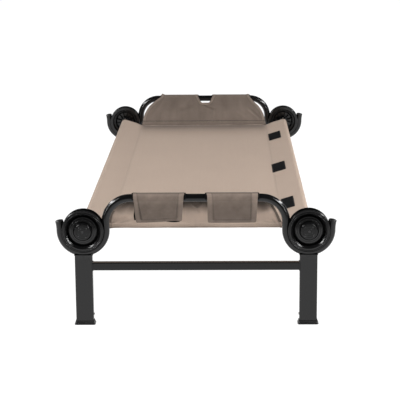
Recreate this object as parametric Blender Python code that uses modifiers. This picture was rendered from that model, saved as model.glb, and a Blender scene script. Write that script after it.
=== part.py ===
"""Camping cot, single bed.

Two identical end frames of bent and welded steel tube carry two side rails.
Each rail is a two-piece steel tube with a grooved plastic disc on each end,
and each disc sits in a U-shaped cradle that the end frame's tube makes.
A woven deck has a sleeve along each side for its rail.  At each end a panel
rises from the deck, laps over the frame's top bar and closes with two flaps.

Frame: +X to the right, +Y from the foot end to the head end, +Z up,
origin on the floor under the middle of the cot.  Metres.
"""

import math

import bmesh
import bpy
from mathutils import Matrix, Vector

# ---------------------------------------------------------------- dimensions
END_Y = 0.980            # middle plane of each end frame's bent tube
AXIS_X = 0.3475          # rails and discs: distance from the middle
AXIS_Z = 0.3008          # rails and discs: height of the axis
GAP = 0.0003             # left between pieces that touch

TUBE_R = 0.0125          # bent tube, 25 mm
TUBE_WALL = 0.0012
CRADLE_R = 0.0697        # centre line of the U under a disc
TIP_RISE = 0.0285        # outer end of the U above the axis
TIP_FLARE = 0.0030       # outer end leans out
ARCH_R = 0.0770          # centre line of the bend between arm and top bar
BAR_Z = 0.4020           # centre line of the top bar

LEG_W, LEG_D = 0.0550, 0.0250
LEG_WALL = 0.0015
LEG_CORNER = 0.0040
LEG_TOP = 0.2232
LEG_BOTTOM = 0.0035
CROSSBAR_H, CROSSBAR_D = 0.0250, 0.0220
CROSSBAR_WALL = 0.0012
CROSSBAR_Z = 0.1866

CAP_TOP_W, CAP_TOP_D = 0.0590, 0.0292
CAP_FOOT_W, CAP_FOOT_D = 0.0655, 0.0360
CAP_H = 0.0120

BUTTON_R = 0.0040        # spring button in each leg
BUTTON_Z = 0.0310
BUTTON_PROUD = 0.0030

RAIL_R = 0.0110          # rail tube, 22 mm
RAIL_WALL = 0.0012
RAIL_END = 0.9840        # end of each rail
JOINT_Y = 0.0300         # where the two half rails meet
INSERT_R = 0.0095        # reduced end that plugs into the other half
INSERT_LENGTH = 0.0600
SNAP_R = 0.0030
SNAP_TIP = 0.0122        # the rail's snap button ends this far from the axis

DISC_R = 0.0650
GROOVE_R = 0.0560
GROOVE_HALF = 0.0133
DISC_HALF = 0.0205
BOWL_R = 0.0530
RING_R = 0.0426
BOSS_R = 0.0170
BOSS_END = -0.0360       # towards the deck
BORE_R = RAIL_R + GAP
HUB_R = 0.0280
HUB_FACE = 0.0280        # hub cap's face in front of the tube's plane
RIVET_A = -0.0280

CLOTH = 0.0012           # deck cloth, two layers sewn
SLEEVE_R = 0.0133        # middle of the sleeve's cloth round the rail
SLOPE = math.radians(17) # cloth between the rail and the sleeve's seam
SEAM_X = 0.2710
DECK_MID_Z = 0.2832
DECK_END_Z = 0.2932
SLEEVE_END = 0.9400
DECK_END = 0.9145

PANEL = 0.0016           # end panels and flaps, with their hems
PANEL_FOOT = (0.0640, 0.2950)   # start of the panel: inside the tube's plane, height
WRAP_R = 0.0140          # middle of the cloth over the top bar
HINGE_DEG = 112.0        # where the flap starts to bend away
FLAP_END_Z = 0.3300
TAB_OUT = 0.1903
TAB_IN = 0.0347
TAB_SHIFT = {"footend": 0.0021, "headend": -0.0060}   # both tabs, sideways

PATCH_W, PATCH_L, PATCH_T = 0.0510, 0.1500, 0.0020
PATCH_Y = {"foot": -0.608, "middle": -0.014, "head": 0.614}

# --------------------------------------------------------------- scene set-up
for old in list(bpy.data.objects):
    bpy.data.objects.remove(old, do_unlink=True)

parts = bpy.data.collections.new("camping_cot")
cutters = bpy.data.collections.new("cutters")
cutters.hide_render = True
for made in (parts, cutters):
    bpy.context.scene.collection.children.link(made)


def finish(name, colour, roughness, metallic=0.0):
    made = bpy.data.materials.new(name)
    made.use_nodes = True
    shader = made.node_tree.nodes["Principled BSDF"]
    shader.inputs["Base Color"].default_value = (*colour, 1.0)
    shader.inputs["Roughness"].default_value = roughness
    shader.inputs["Metallic"].default_value = metallic
    made.diffuse_color = (*colour, 1.0)
    return made


POWDER = finish("black_powder_coat", (0.032, 0.032, 0.033), 0.42, 0.2)
PLASTIC = finish("black_plastic", (0.020, 0.020, 0.021), 0.30)
BLACK_TUBE = finish("rail_black", (0.030, 0.030, 0.031), 0.38, 0.3)
ZINC = finish("zinc_steel", (0.52, 0.52, 0.53), 0.35, 1.0)
DECK_CLOTH = finish("deck_cloth", (0.46, 0.37, 0.30), 0.85)
PANEL_CLOTH = finish("panel_cloth", (0.42, 0.34, 0.28), 0.88)
HOOK = finish("hook_fastener", (0.016, 0.017, 0.020), 0.95)


def add(name, mesh, surface, parent=None, into=parts):
    """A new object, with the mesh's own axes as its parent's."""
    obj = bpy.data.objects.new(name, mesh)
    into.objects.link(obj)
    if parent is not None:
        obj.parent = parent
    if surface is not None:
        mesh.materials.clear()
        mesh.materials.append(surface)
    mesh.shade_smooth()
    mesh.set_sharp_from_angle(angle=math.radians(35))
    if into is cutters:
        obj.hide_render = True
        obj.display_type = "WIRE"
    return obj


def empty(name, location, turn=0.0, parent=None):
    obj = bpy.data.objects.new(name, None)
    obj.empty_display_size = 0.03
    obj.location = location
    obj.rotation_euler = (0.0, 0.0, turn)
    parts.objects.link(obj)
    if parent is not None:
        obj.parent = parent
    return obj


def cut(obj, cutter):
    boolean = obj.modifiers.new("cut_" + cutter.name, "BOOLEAN")
    boolean.operation = "DIFFERENCE"
    boolean.solver = "EXACT"
    boolean.object = cutter


def outward(bm):
    if bm.calc_volume(signed=True) < 0:
        bmesh.ops.reverse_faces(bm, faces=bm.faces)


def to_mesh(bm, name):
    mesh = bpy.data.meshes.new(name)
    bm.to_mesh(mesh)
    bm.free()
    return mesh


# ------------------------------------------------------------- shape helpers
def from_curve(curve, name):
    """The evaluated curve as a welded bmesh."""
    holder = bpy.data.objects.new(name + "_curve", curve)
    bpy.context.scene.collection.objects.link(holder)
    graph = bpy.context.evaluated_depsgraph_get()
    mesh = bpy.data.meshes.new_from_object(holder.evaluated_get(graph))
    bm = bmesh.new()
    bm.from_mesh(mesh)
    bmesh.ops.remove_doubles(bm, verts=bm.verts, dist=1e-6)
    bpy.data.objects.remove(holder, do_unlink=True)
    bpy.data.curves.remove(curve)
    bpy.data.meshes.remove(mesh)
    return bm


def swept(name, points, radius, resolution, caps):
    """A round tube along a line of points."""
    curve = bpy.data.curves.new(name, "CURVE")
    curve.dimensions = "3D"
    curve.bevel_depth = radius
    curve.bevel_resolution = resolution
    curve.use_fill_caps = caps
    spline = curve.splines.new("POLY")
    spline.points.add(len(points) - 1)
    for point, place in zip(spline.points, points):
        point.co = (*place, 1.0)
    return from_curve(curve, name)


def plate(name, outline, thickness):
    """A flat outline in X and Y with this thickness along Z."""
    curve = bpy.data.curves.new(name, "CURVE")
    curve.dimensions = "2D"
    curve.fill_mode = "BOTH"
    curve.extrude = thickness / 2
    spline = curve.splines.new("POLY")
    spline.points.add(len(outline) - 1)
    for point, (x, y) in zip(spline.points, outline):
        point.co = (x, y, 0.0, 1.0)
    spline.use_cyclic_u = True
    return from_curve(curve, name)


def bent_plate(name, outline, thickness, creases, bend):
    """A plate cut along lines of equal Y, then bent by a function of Y and Z."""
    bm = plate(name, outline, thickness)
    for crease in creases:
        bmesh.ops.bisect_plane(
            bm,
            geom=bm.verts[:] + bm.edges[:] + bm.faces[:],
            dist=1e-7,
            plane_co=(0.0, crease, 0.0),
            plane_no=(0.0, 1.0, 0.0),
        )
    bmesh.ops.triangulate(bm, faces=bm.faces)
    for vert in bm.verts:
        y, z = bend(vert.co.y, vert.co.z)
        vert.co = (vert.co.x, y, z)
    outward(bm)
    return to_mesh(bm, name)


def strip_outline(line, thickness):
    """The outline of a strip of this thickness along a line of (x, y) points."""
    left, right = [], []
    for i, (x, y) in enumerate(line):
        before = Vector(line[max(i - 1, 0)])
        after = Vector(line[min(i + 1, len(line) - 1)])
        along = (after - before).normalized()
        side = Vector((-along.y, along.x)) * thickness / 2
        left.append((x + side.x, y + side.y))
        right.append((x - side.x, y - side.y))
    return left + right[::-1]


def turned(name, profile, steps, surface, parent=None, into=parts, closed=False):
    """A shape turned about local Z from (radius, height) points."""
    area = sum(
        a[0] * b[1] - b[0] * a[1] for a, b in zip(profile, profile[1:] + profile[:1])
    )
    points = profile if area < 0 else profile[::-1]
    mesh = bpy.data.meshes.new(name)
    edges = [(i, i + 1) for i in range(len(points) - 1)]
    if closed:
        edges.append((len(points) - 1, 0))
    mesh.from_pydata([(r, 0.0, z) for r, z in points], edges, [])
    obj = add(name, mesh, surface, parent, into)
    screw = obj.modifiers.new("turn", "SCREW")
    screw.axis = "Z"
    screw.angle = math.tau
    screw.steps = screw.render_steps = steps
    screw.use_merge_vertices = True
    screw.merge_threshold = 0.00001
    screw.use_smooth_shade = True
    return obj


def block(name, size, centre, into=parts, surface=None, parent=None):
    """A box, as a mesh whose scale is already in its points."""
    bm = bmesh.new()
    bmesh.ops.create_cube(bm, size=1.0)
    for vert in bm.verts:
        vert.co = Vector([c + v * s for c, v, s in zip(centre, vert.co, size)])
    return add(name, to_mesh(bm, name), surface, parent, into)


def round_bar(name, radius, length, centre, axis, parent=None, sides=16, into=cutters, surface=None):
    """A plain cylinder, lying along a unit axis."""
    bm = bmesh.new()
    bmesh.ops.create_cone(
        bm, cap_ends=True, segments=sides, radius1=radius, radius2=radius, depth=length
    )
    turn = Vector((0, 0, 1)).rotation_difference(Vector(axis)).to_matrix().to_4x4()
    bmesh.ops.transform(bm, matrix=Matrix.Translation(centre) @ turn, verts=bm.verts)
    return add(name, to_mesh(bm, name), surface, parent, into)


def arc(cx, cz, radius, start, end, steps, ends=(True, True)):
    """Points round an arc in degrees, just outside it so that its chords touch it."""
    out = []
    half = math.radians(abs(end - start)) / steps / 2
    for i in range(steps + 1):
        if (i == 0 and not ends[0]) or (i == steps and not ends[1]):
            continue
        angle = math.radians(start + (end - start) * i / steps)
        reach = radius if i in (0, steps) else radius / math.cos(half)
        out.append((cx + reach * math.cos(angle), cz + reach * math.sin(angle)))
    return out


def tangent_from(point, centre, radius, side):
    """The angle about the centre, in degrees, where a line from the point touches the circle."""
    dx, dz = centre[0] - point[0], centre[1] - point[1]
    reach = math.hypot(dx, dz)
    lean = math.asin(radius / reach)
    heading = math.atan2(dz, dx) + side * lean
    return math.degrees(heading + side * math.pi / 2)


# ---------------------------------------------------------------- end frames
def bow_line():
    """Centre line of the bent tube, from the left tip to the right tip."""
    left = [(-AXIS_X - CRADLE_R - TIP_FLARE, AXIS_Z + TIP_RISE)]
    left.append((-AXIS_X - CRADLE_R - TIP_FLARE * 0.35, AXIS_Z + TIP_RISE * 0.5))
    left += arc(-AXIS_X, AXIS_Z, CRADLE_R, 180, 360, 12)
    arm_x = -AXIS_X + CRADLE_R
    spring_z = BAR_Z - ARCH_R
    left += arc(arm_x + ARCH_R, spring_z, ARCH_R, 180, 90, 6)
    return left + [(-x, z) for x, z in left[::-1]]


def end_frame(end, turn_half):
    """One end frame.  Its own -Y points away from the bed."""
    side_names = ("left", "right") if not turn_half else ("right", "left")
    root = empty(
        end + "_frame_origin",
        (0.0, END_Y if turn_half else -END_Y, 0.0),
        math.pi if turn_half else 0.0,
    )
    line = [(x, 0.0, z) for x, z in bow_line()]

    bm = swept(end + "_bow_tube", line, TUBE_R, 4, caps=False)
    bow = add(end + "_bow_tube", to_mesh(bm, end + "_bow_tube"), POWDER, root)
    wall = bow.modifiers.new("wall", "SOLIDIFY")
    wall.thickness = TUBE_WALL
    wall.offset = -1.0
    wall.use_even_offset = False

    bm = swept(end + "_bow_space", line, TUBE_R + GAP + 0.0003, 4, caps=True)
    outward(bm)
    space = add(end + "_bow_space", to_mesh(bm, end + "_bow_space"), None, root, cutters)

    crossbar(end, root, AXIS_X - LEG_W / 2)
    for sign, side in zip((-1, 1), side_names):
        leg(end, side, sign, root, space)
        tip_plug(end, side, sign, root, line)
        floor_cap(end, side, sign, root)
        leg_button(end, side, sign, root)
        leg_spring(end, side, sign, root)


def open_box_tube(name, width, depth, low, high, wall, corner, surface, parent, along="Z"):
    """A rectangular tube with rounded edges, open at both ends."""
    bm = bmesh.new()
    bmesh.ops.create_cube(bm, size=1.0)
    ends = [f for f in bm.faces if abs(f.normal.z) > 0.5]
    bmesh.ops.delete(bm, geom=ends, context="FACES_ONLY")
    for vert in bm.verts:
        vert.co = Vector(
            (
                vert.co.x * width,
                vert.co.y * depth,
                (low + high) / 2 + vert.co.z * (high - low),
            )
        )
    rising = [e for e in bm.edges if abs((e.verts[0].co - e.verts[1].co).z) > 1e-4]
    bmesh.ops.bevel(
        bm, geom=rising, offset=corner, segments=3, profile=0.5, affect="EDGES"
    )
    if along == "X":
        bmesh.ops.rotate(
            bm, verts=bm.verts, cent=(0, 0, 0), matrix=Matrix.Rotation(math.pi / 2, 3, "Y")
        )
    obj = add(name, to_mesh(bm, name), surface, parent)
    shell = obj.modifiers.new("wall", "SOLIDIFY")
    shell.thickness = wall
    shell.offset = -1.0
    shell.use_even_offset = True
    return obj


def leg(end, side, sign, root, space):
    name = f"{end}_leg_{side}"
    obj = open_box_tube(
        name, LEG_W, LEG_D, LEG_BOTTOM, LEG_TOP, LEG_WALL, LEG_CORNER, POWDER, root
    )
    obj.location.x = sign * AXIS_X
    cut(obj, space)
    inner = sign * (AXIS_X - LEG_W / 2)
    hole = round_bar(
        name + "_hole", BUTTON_R + GAP, 0.012, (inner, 0.0, BUTTON_Z), (1, 0, 0), root
    )
    cut(obj, hole)


def crossbar(end, root, inner):
    reach = inner - GAP
    obj = open_box_tube(
        end + "_crossbar",
        CROSSBAR_H,
        CROSSBAR_D,
        -reach,
        reach,
        CROSSBAR_WALL,
        0.0022,
        POWDER,
        root,
        along="X",
    )
    obj.location.z = CROSSBAR_Z
    return obj


def tip_plug(end, side, sign, root, line):
    """A rounded plug in the open end of the tube."""
    tip, before = (Vector(line[0]), Vector(line[1]))
    if sign > 0:
        tip, before = (Vector(line[-1]), Vector(line[-2]))
    stem = TUBE_R - TUBE_WALL - GAP - 0.0003
    profile = [
        (0.0, -0.014),
        (stem - 0.0012, -0.014),
        (stem, -0.012),
        (stem, GAP),
        (TUBE_R, GAP),
        (TUBE_R, 0.0018),
        (TUBE_R * 0.86, 0.0038),
        (TUBE_R * 0.52, 0.0050),
        (0.0, 0.0055),
    ]
    obj = turned(f"{end}_tip_plug_{side}", profile, 12, PLASTIC, root)
    way = (tip - before).normalized()
    obj.location = tip
    obj.rotation_euler = Vector((0, 0, 1)).rotation_difference(way).to_euler()


def floor_cap(end, side, sign, root):
    """The flared cap that the leg stands in."""
    name = f"{end}_floor_cap_{side}"
    bm = bmesh.new()
    bmesh.ops.create_cube(bm, size=1.0)
    for vert in bm.verts:
        top = vert.co.z > 0
        width = CAP_TOP_W if top else CAP_FOOT_W
        depth = CAP_TOP_D if top else CAP_FOOT_D
        vert.co = Vector((vert.co.x * width, vert.co.y * depth, CAP_H if top else 0.0))
    rising = [e for e in bm.edges if abs((e.verts[0].co - e.verts[1].co).z) > 1e-4]
    bmesh.ops.bevel(
        bm, geom=rising, offset=0.0050, segments=3, profile=0.5, affect="EDGES"
    )
    obj = add(name, to_mesh(bm, name), PLASTIC, root)
    obj.location.x = sign * AXIS_X
    pocket = open_pocket(name + "_pocket", root)
    pocket.location.x = sign * AXIS_X
    cut(obj, pocket)


def open_pocket(name, root):
    low, high = LEG_BOTTOM - GAP, 0.030
    obj = block(
        name,
        (LEG_W + 2 * GAP, LEG_D + 2 * GAP, high - low),
        (0.0, 0.0, (low + high) / 2),
        into=cutters,
        parent=root,
    )
    return obj


def leg_button(end, side, sign, root):
    """The spring button: a domed pin with a collar behind the leg's wall."""
    face = 0.0
    back = -(LEG_WALL + GAP)
    profile = [
        (0.0, back - 0.0012),
        (BUTTON_R + 0.0015, back - 0.0012),
        (BUTTON_R + 0.0015, back),
        (BUTTON_R, back),
        (BUTTON_R, face + BUTTON_PROUD - 0.0014),
        (BUTTON_R * 0.72, face + BUTTON_PROUD - 0.0004),
        (0.0, face + BUTTON_PROUD),
    ]
    obj = turned(f"{end}_leg_button_{side}", profile, 12, ZINC, root)
    obj.location = (sign * (AXIS_X - LEG_W / 2), 0.0, BUTTON_Z)
    obj.rotation_euler = (0.0, -sign * math.pi / 2, 0.0)


def leg_spring(end, side, sign, root):
    """The bent leaf spring inside the leg, behind the button's collar."""
    name = f"{end}_leg_spring_{side}"
    near = LEG_W / 2 - LEG_WALL - GAP - 0.0012 - 0.0006
    far = -(LEG_W / 2 - LEG_WALL - 0.0008)
    line = [(near, 0.022), (near, 0.042)]
    crown = arc((near + far) / 2, 0.070, (near - far) / 2 * 0.55, 20, 160, 6)
    line += crown + [(far, 0.042), (far, 0.022)]
    bm = plate(name, strip_outline(line, 0.0007), 0.012)
    for vert in bm.verts:
        u, z, y = vert.co
        vert.co = (-sign * u, y, z)
    outward(bm)
    obj = add(name, to_mesh(bm, name), ZINC, root)
    obj.location.x = sign * AXIS_X


end_frame("footend", False)
end_frame("headend", True)


# --------------------------------------------------------------------- rails
def disc_profile():
    """(radius, height above the tube's plane, away from the bed), as a closed loop."""
    return [
        (BORE_R, 0.0117),
        (0.0300, 0.0117),
        (0.0310, 0.0128),
        (RING_R, 0.0128),
        (RING_R + 0.0012, 0.0050),
        (0.0490, 0.0050),
        (BOWL_R, DISC_HALF),
        (DISC_R - 0.0015, DISC_HALF),
        (DISC_R, DISC_HALF - 0.0020),
        (DISC_R, GROOVE_HALF),
        (GROOVE_R, GROOVE_HALF),
        (GROOVE_R, -GROOVE_HALF),
        (DISC_R, -GROOVE_HALF),
        (DISC_R, -DISC_HALF + 0.0020),
        (DISC_R - 0.0015, -DISC_HALF),
        (BOWL_R, -DISC_HALF),
        (0.0510, 0.0010),
        (0.0405, 0.0010),
        (0.0385, 0.0085),
        (BOSS_R + 0.0016, 0.0085),
        (BOSS_R, BOSS_END),
        (BORE_R, BOSS_END),
    ]


def hub_profile():
    return [
        (0.0, 0.0062),
        (RAIL_R - 0.0008, 0.0062),
        (RAIL_R - 0.0004, 0.0075),
        (RAIL_R - 0.0004, 0.0120),
        (HUB_R, 0.0120),
        (HUB_R, 0.0200),
        (0.0232, HUB_FACE - 0.0022),
        (0.0200, HUB_FACE - 0.0004),
        (0.0050, HUB_FACE),
        (0.0024, HUB_FACE - 0.0014),
        (0.0, HUB_FACE - 0.0016),
    ]


def rail_side(side, sign):
    axis = empty(f"rail_{side}_axis", (sign * AXIS_X, 0.0, AXIS_Z))
    down = (0.0, 0.0, -1.0)

    # The foot half is plain tube; the head half ends in the reduced insert.
    inside = RAIL_R - RAIL_WALL
    foot_tube = turned(
        f"rail_{side}_foot",
        [
            (inside, -RAIL_END),
            (RAIL_R, -RAIL_END),
            (RAIL_R, JOINT_Y - GAP),
            (inside, JOINT_Y - GAP),
        ],
        16,
        BLACK_TUBE,
        axis,
        closed=True,
    )
    bore = INSERT_R - RAIL_WALL
    head_tube = turned(
        f"rail_{side}_head",
        [
            (bore, JOINT_Y - INSERT_LENGTH),
            (INSERT_R - 0.0006, JOINT_Y - INSERT_LENGTH),
            (INSERT_R, JOINT_Y - INSERT_LENGTH + 0.002),
            (INSERT_R, JOINT_Y),
            (RAIL_R, JOINT_Y + 0.0006),
            (RAIL_R, RAIL_END),
            (inside, RAIL_END),
            (inside, JOINT_Y + 0.005),
            (bore, JOINT_Y + 0.001),
        ],
        16,
        BLACK_TUBE,
        axis,
        closed=True,
    )
    for tube in (foot_tube, head_tube):
        tube.rotation_euler = (-math.pi / 2, 0.0, 0.0)

    snap_hole = round_bar(
        f"rail_{side}_snap_hole", SNAP_R + GAP, 0.012, (0.0, 0.0, -0.0100), down, axis, 12
    )
    cut(foot_tube, snap_hole)
    cut(head_tube, snap_hole)

    # Snap button: pin with a collar inside the insert.
    button = turned(
        f"rail_{side}_snap_button",
        [
            (0.0, 0.0060),
            (SNAP_R + 0.0009, 0.0060),
            (SNAP_R + 0.0009, 0.0068),
            (SNAP_R, 0.0068),
            (SNAP_R, SNAP_TIP - 0.0010),
            (SNAP_R * 0.7, SNAP_TIP - 0.0003),
            (0.0, SNAP_TIP),
        ],
        12,
        ZINC,
        axis,
    )
    button.rotation_euler = (math.pi, 0.0, 0.0)

    # Its leaf spring lies along the insert, folded back on itself.
    line = [(-0.008, 0.0055), (0.008, 0.0055), (0.019, 0.0035)]
    line += arc(0.0215, -0.0010, 0.0030, 60, -60, 4)
    line += [(0.019, -0.0050), (0.006, -0.0068), (-0.008, -0.0068)]
    name = f"rail_{side}_snap_spring"
    bm = plate(name, strip_outline(line, 0.0005), 0.0056)
    for vert in bm.verts:
        y, w, x = vert.co
        vert.co = (x, y, -w)
    outward(bm)
    add(name, to_mesh(bm, name), ZINC, axis)

    for end, way, tube in (("foot", -1, foot_tube), ("head", 1, head_tube)):
        centre_y = way * END_Y
        tilt = (math.pi / 2 if way < 0 else -math.pi / 2, 0.0, 0.0)
        disc = turned(
            f"disc_{end}_{side}", disc_profile(), 24, PLASTIC, axis, closed=True
        )
        disc.location = (0.0, centre_y, 0.0)
        disc.rotation_euler = tilt
        hub = turned(f"hub_cap_{end}_{side}", hub_profile(), 16, PLASTIC, axis)
        hub.location = (0.0, centre_y, 0.0)
        hub.rotation_euler = tilt

        rivet_y = centre_y + way * RIVET_A
        hole = round_bar(
            f"rivet_hole_{end}_{side}",
            0.0020 + GAP,
            0.060,
            (0.0, rivet_y, 0.0),
            (0.0, 0.0, 1.0),
            axis,
            12,
        )
        cut(disc, hole)
        cut(tube, hole)
        reach = BOSS_R + 0.0010
        rivet = turned(
            f"rivet_{end}_{side}",
            [
                (0.0, reach + 0.0013),
                (0.0022, reach + 0.0010),
                (0.0038, reach),
                (0.0020, reach),
                (0.0020, -reach),
                (0.0038, -reach),
                (0.0022, -reach - 0.0010),
                (0.0, -reach - 0.0013),
            ],
            12,
            ZINC,
            axis,
        )
        rivet.location = (0.0, rivet_y, 0.0)


rail_side("left", -1)
rail_side("right", 1)


# ---------------------------------------------------------------------- deck
def slope_point():
    """Where the sleeve's upper layer leaves the rail."""
    return (
        AXIS_X - SLEEVE_R * math.sin(SLOPE),
        AXIS_Z + SLEEVE_R * math.cos(SLOPE),
    )


def slope_z(x):
    """Height of the upper layer between the rail and the seam."""
    top_x, top_z = slope_point()
    return top_z - (top_x - x) * math.tan(SLOPE)


def deck_section():
    """(x, z, lower layer?) across the cloth's middle, from one lap's edge to the other's."""
    lap_x = SEAM_X + 0.0030
    lap = (lap_x, slope_z(lap_x) - CLOTH - 0.0007)
    centre = (AXIS_X, AXIS_Z)
    foot = tangent_from(lap, centre, SLEEVE_R, -1)
    half = [(lap[0], lap[1], True)]
    around = arc(*centre, SLEEVE_R, foot, 90 + math.degrees(SLOPE), 11)
    half += [(x, z, z < AXIS_Z) for x, z in around]
    middle = (SEAM_X + slope_point()[0]) / 2
    half.append((middle, slope_z(middle), False))
    seam_z = slope_z(SEAM_X)
    half.append((SEAM_X, seam_z, False))
    for share in (0.93, 0.76, 0.56, 0.30, 0.0):
        z = DECK_MID_Z + (seam_z - DECK_MID_Z) * share**2
        half.append((SEAM_X * share, z, False))
    return [(-x, z, low) for x, z, low in half] + half[-2::-1]


def ease(low, high, value):
    t = min(max((value - low) / (high - low), 0.0), 1.0)
    return t * t * (3 - 2 * t)


def deck():
    section = deck_section()
    stations = (0.0, 0.22, 0.44, 0.64, 0.80, 0.88, 0.93, 0.97, 1.0)
    stations = [-s for s in stations[:0:-1]] + list(stations)
    bm = bmesh.new()
    bmesh.ops.create_grid(
        bm, x_segments=len(section) - 1, y_segments=len(stations) - 1, size=0.5
    )
    for vert in bm.verts:
        x, z, lower = section[round((vert.co.x + 0.5) * (len(section) - 1))]
        share = stations[round((vert.co.y + 0.5) * (len(stations) - 1))]
        reach = DECK_END + (SLEEVE_END - DECK_END) * ease(0.264, 0.290, abs(x))
        if lower:
            reach = SLEEVE_END
        y = share * reach
        if not lower:
            lift = ease(0.640, DECK_END, abs(y)) * (1 - ease(0.262, 0.300, abs(x)))
            z += (DECK_END_Z - z) * lift
        vert.co = (x, y, z)
    obj = add("deck", to_mesh(bm, "deck"), DECK_CLOTH)
    cloth = obj.modifiers.new("cloth", "SOLIDIFY")
    cloth.thickness = CLOTH
    cloth.offset = 0.0
    cloth.use_even_offset = True
    return obj


deck()


# ------------------------------------------------------ end panels and flaps
BAR = (0.0, BAR_Z)
TOUCH = tangent_from(PANEL_FOOT, BAR, WRAP_R, -1)
while TOUCH > 90:
    TOUCH -= 360
TOUCH_AT = (
    WRAP_R * math.cos(math.radians(TOUCH)),
    BAR_Z + WRAP_R * math.sin(math.radians(TOUCH)),
)
RISE = math.hypot(TOUCH_AT[0] - PANEL_FOOT[0], TOUCH_AT[1] - PANEL_FOOT[1])
OPEN_DEG = math.degrees(GAP / (WRAP_R + PANEL / 2)) * 0.7


def over_bar(angle, offset):
    """Offset towards the bar is positive: the cloth's inside."""
    turn = math.radians(angle)
    reach = WRAP_R - offset
    return reach * math.cos(turn), BAR_Z + reach * math.sin(turn)


def panel_bend(s, h):
    """From arc length up the panel and offset towards the tube to (y, z)."""
    if s <= RISE:
        along = Vector((TOUCH_AT[0] - PANEL_FOOT[0], TOUCH_AT[1] - PANEL_FOOT[1])) / RISE
        normal = Vector((-along.y, along.x))
        place = Vector(PANEL_FOOT) + along * s + normal * h
        return place.x, place.y
    return over_bar(TOUCH + math.degrees((s - RISE) / WRAP_R), h)


def flap_bend(s, h):
    """From arc length down the flap to (y, z)."""
    start = HINGE_DEG + OPEN_DEG
    curve = math.radians(180 - start) * WRAP_R
    if s <= curve:
        return over_bar(start + math.degrees(s / WRAP_R), h)
    return -(WRAP_R - h), BAR_Z - (s - curve)


def panel_outline(shift):
    """(x, arc length) round the panel with its two tabs."""
    def up(z):
        return (z - PANEL_FOOT[1]) / (TOUCH_AT[1] - PANEL_FOOT[1]) * RISE

    end = RISE + math.radians(HINGE_DEG - OPEN_DEG - TOUCH) * WRAP_R
    side = [
        (0.2700, 0.0),
        (0.2675, up(0.3060)),
        (0.2645, up(0.3200)),
        (0.2600, up(0.3370)),
        (0.2500, up(0.3560)),
        (0.2380, up(0.3720)),
        (0.2210, up(0.3870)),
        (0.2060, up(0.4005)),
    ]
    tab = [
        (TAB_OUT + 0.0040, RISE + 0.003),
        (TAB_OUT, RISE + 0.012),
        (TAB_OUT, end),
        (TAB_IN, end),
        (TAB_IN, RISE + 0.012),
        (0.0303, RISE + 0.001),
        (0.0225, up(0.3925)),
        (0.0185, up(0.3875)),
        (0.0130, up(0.3850)),
    ]
    right = side + [(x + shift, s) for x, s in tab]
    left = [(-x + shift, s) for x, s in tab[::-1]] + [(-x, s) for x, s in side[::-1]]
    return right + left


def end_panel(end, root):
    name = f"{end}_panel"
    outline = panel_outline(TAB_SHIFT[end])
    arc_creases = [RISE + math.radians(a) * WRAP_R for a in range(0, 110, 15)]
    creases = [RISE * share for share in (0.35, 0.7)] + arc_creases
    mesh = bent_plate(name, outline, PANEL, creases, panel_bend)
    return add(name, mesh, PANEL_CLOTH, root)


def flap(end, side, sign, root):
    name = f"{end}_flap_{side}"
    start = HINGE_DEG + OPEN_DEG
    curve = math.radians(180 - start) * WRAP_R
    end_s = curve + BAR_Z - FLAP_END_Z
    near, far = TAB_IN + sign * TAB_SHIFT[end], TAB_OUT + sign * TAB_SHIFT[end]
    outline = [
        (near, 0.0),
        (far, 0.0),
        (far - 0.0010, curve),
        (far - 0.0060, end_s - 0.010),
        (far - 0.0090, end_s - 0.003),
        (far - 0.0140, end_s),
        (near + 0.0140, end_s),
        (near + 0.0090, end_s - 0.003),
        (near + 0.0060, end_s - 0.010),
        (near + 0.0010, curve),
    ]
    outline = [(sign * x, s) for x, s in outline]
    creases = [math.radians(a) * WRAP_R for a in range(15, 68, 15)] + [curve]
    mesh = bent_plate(name, outline, PANEL, creases, flap_bend)
    turn = math.radians(HINGE_DEG)
    reach = WRAP_R + PANEL / 2
    pivot = Vector((0.0, reach * math.cos(turn), BAR_Z + reach * math.sin(turn)))
    for vert in mesh.vertices:
        vert.co = vert.co - pivot
    hinge = empty(f"{end}_flap_{side}_hinge", pivot, 0.0, root)
    return add(name, mesh, PANEL_CLOTH, hinge)


for end, turn_half in (("footend", False), ("headend", True)):
    root = empty(
        end + "_cloth_origin",
        (0.0, END_Y if turn_half else -END_Y, 0.0),
        math.pi if turn_half else 0.0,
    )
    end_panel(end, root)
    names = ("left", "right") if not turn_half else ("right", "left")
    for sign, side in zip((-1, 1), names):
        flap(end, side, sign, root)


# ------------------------------------------------- hook-and-loop patches
def patch(place, y):
    """A stitched-on rectangle that lies on the right sleeve's slope."""
    bm = bmesh.new()
    bmesh.ops.create_cube(bm, size=1.0)
    for vert in bm.verts:
        vert.co = Vector((vert.co.x * PATCH_W, vert.co.y * PATCH_L, vert.co.z * PATCH_T))
    rising = [e for e in bm.edges if abs((e.verts[0].co - e.verts[1].co).z) > 1e-4]
    bmesh.ops.bevel(bm, geom=rising, offset=0.003, segments=2, profile=0.5, affect="EDGES")
    obj = add(f"hook_patch_{place}", to_mesh(bm, f"hook_patch_{place}"), HOOK)
    centre_x = 0.2985
    lift = CLOTH / 2 + GAP + PATCH_T / 2
    obj.location = (
        centre_x - lift * math.sin(SLOPE),
        y,
        slope_z(centre_x) + lift * math.cos(SLOPE),
    )
    obj.rotation_euler = (0.0, -SLOPE, 0.0)


for place, y in PATCH_Y.items():
    patch(place, y)
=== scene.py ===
"""The looks of the camping cot: woven deck and end panels, coated steel end
frames, moulded discs and hook-and-loop patches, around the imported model.

Frame: +X to the right, +Y from the foot end to the head end, +Z up. Metres.
"""

import math

import bmesh
import bpy
import numpy as np
from mathutils import Matrix, Vector, noise


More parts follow.
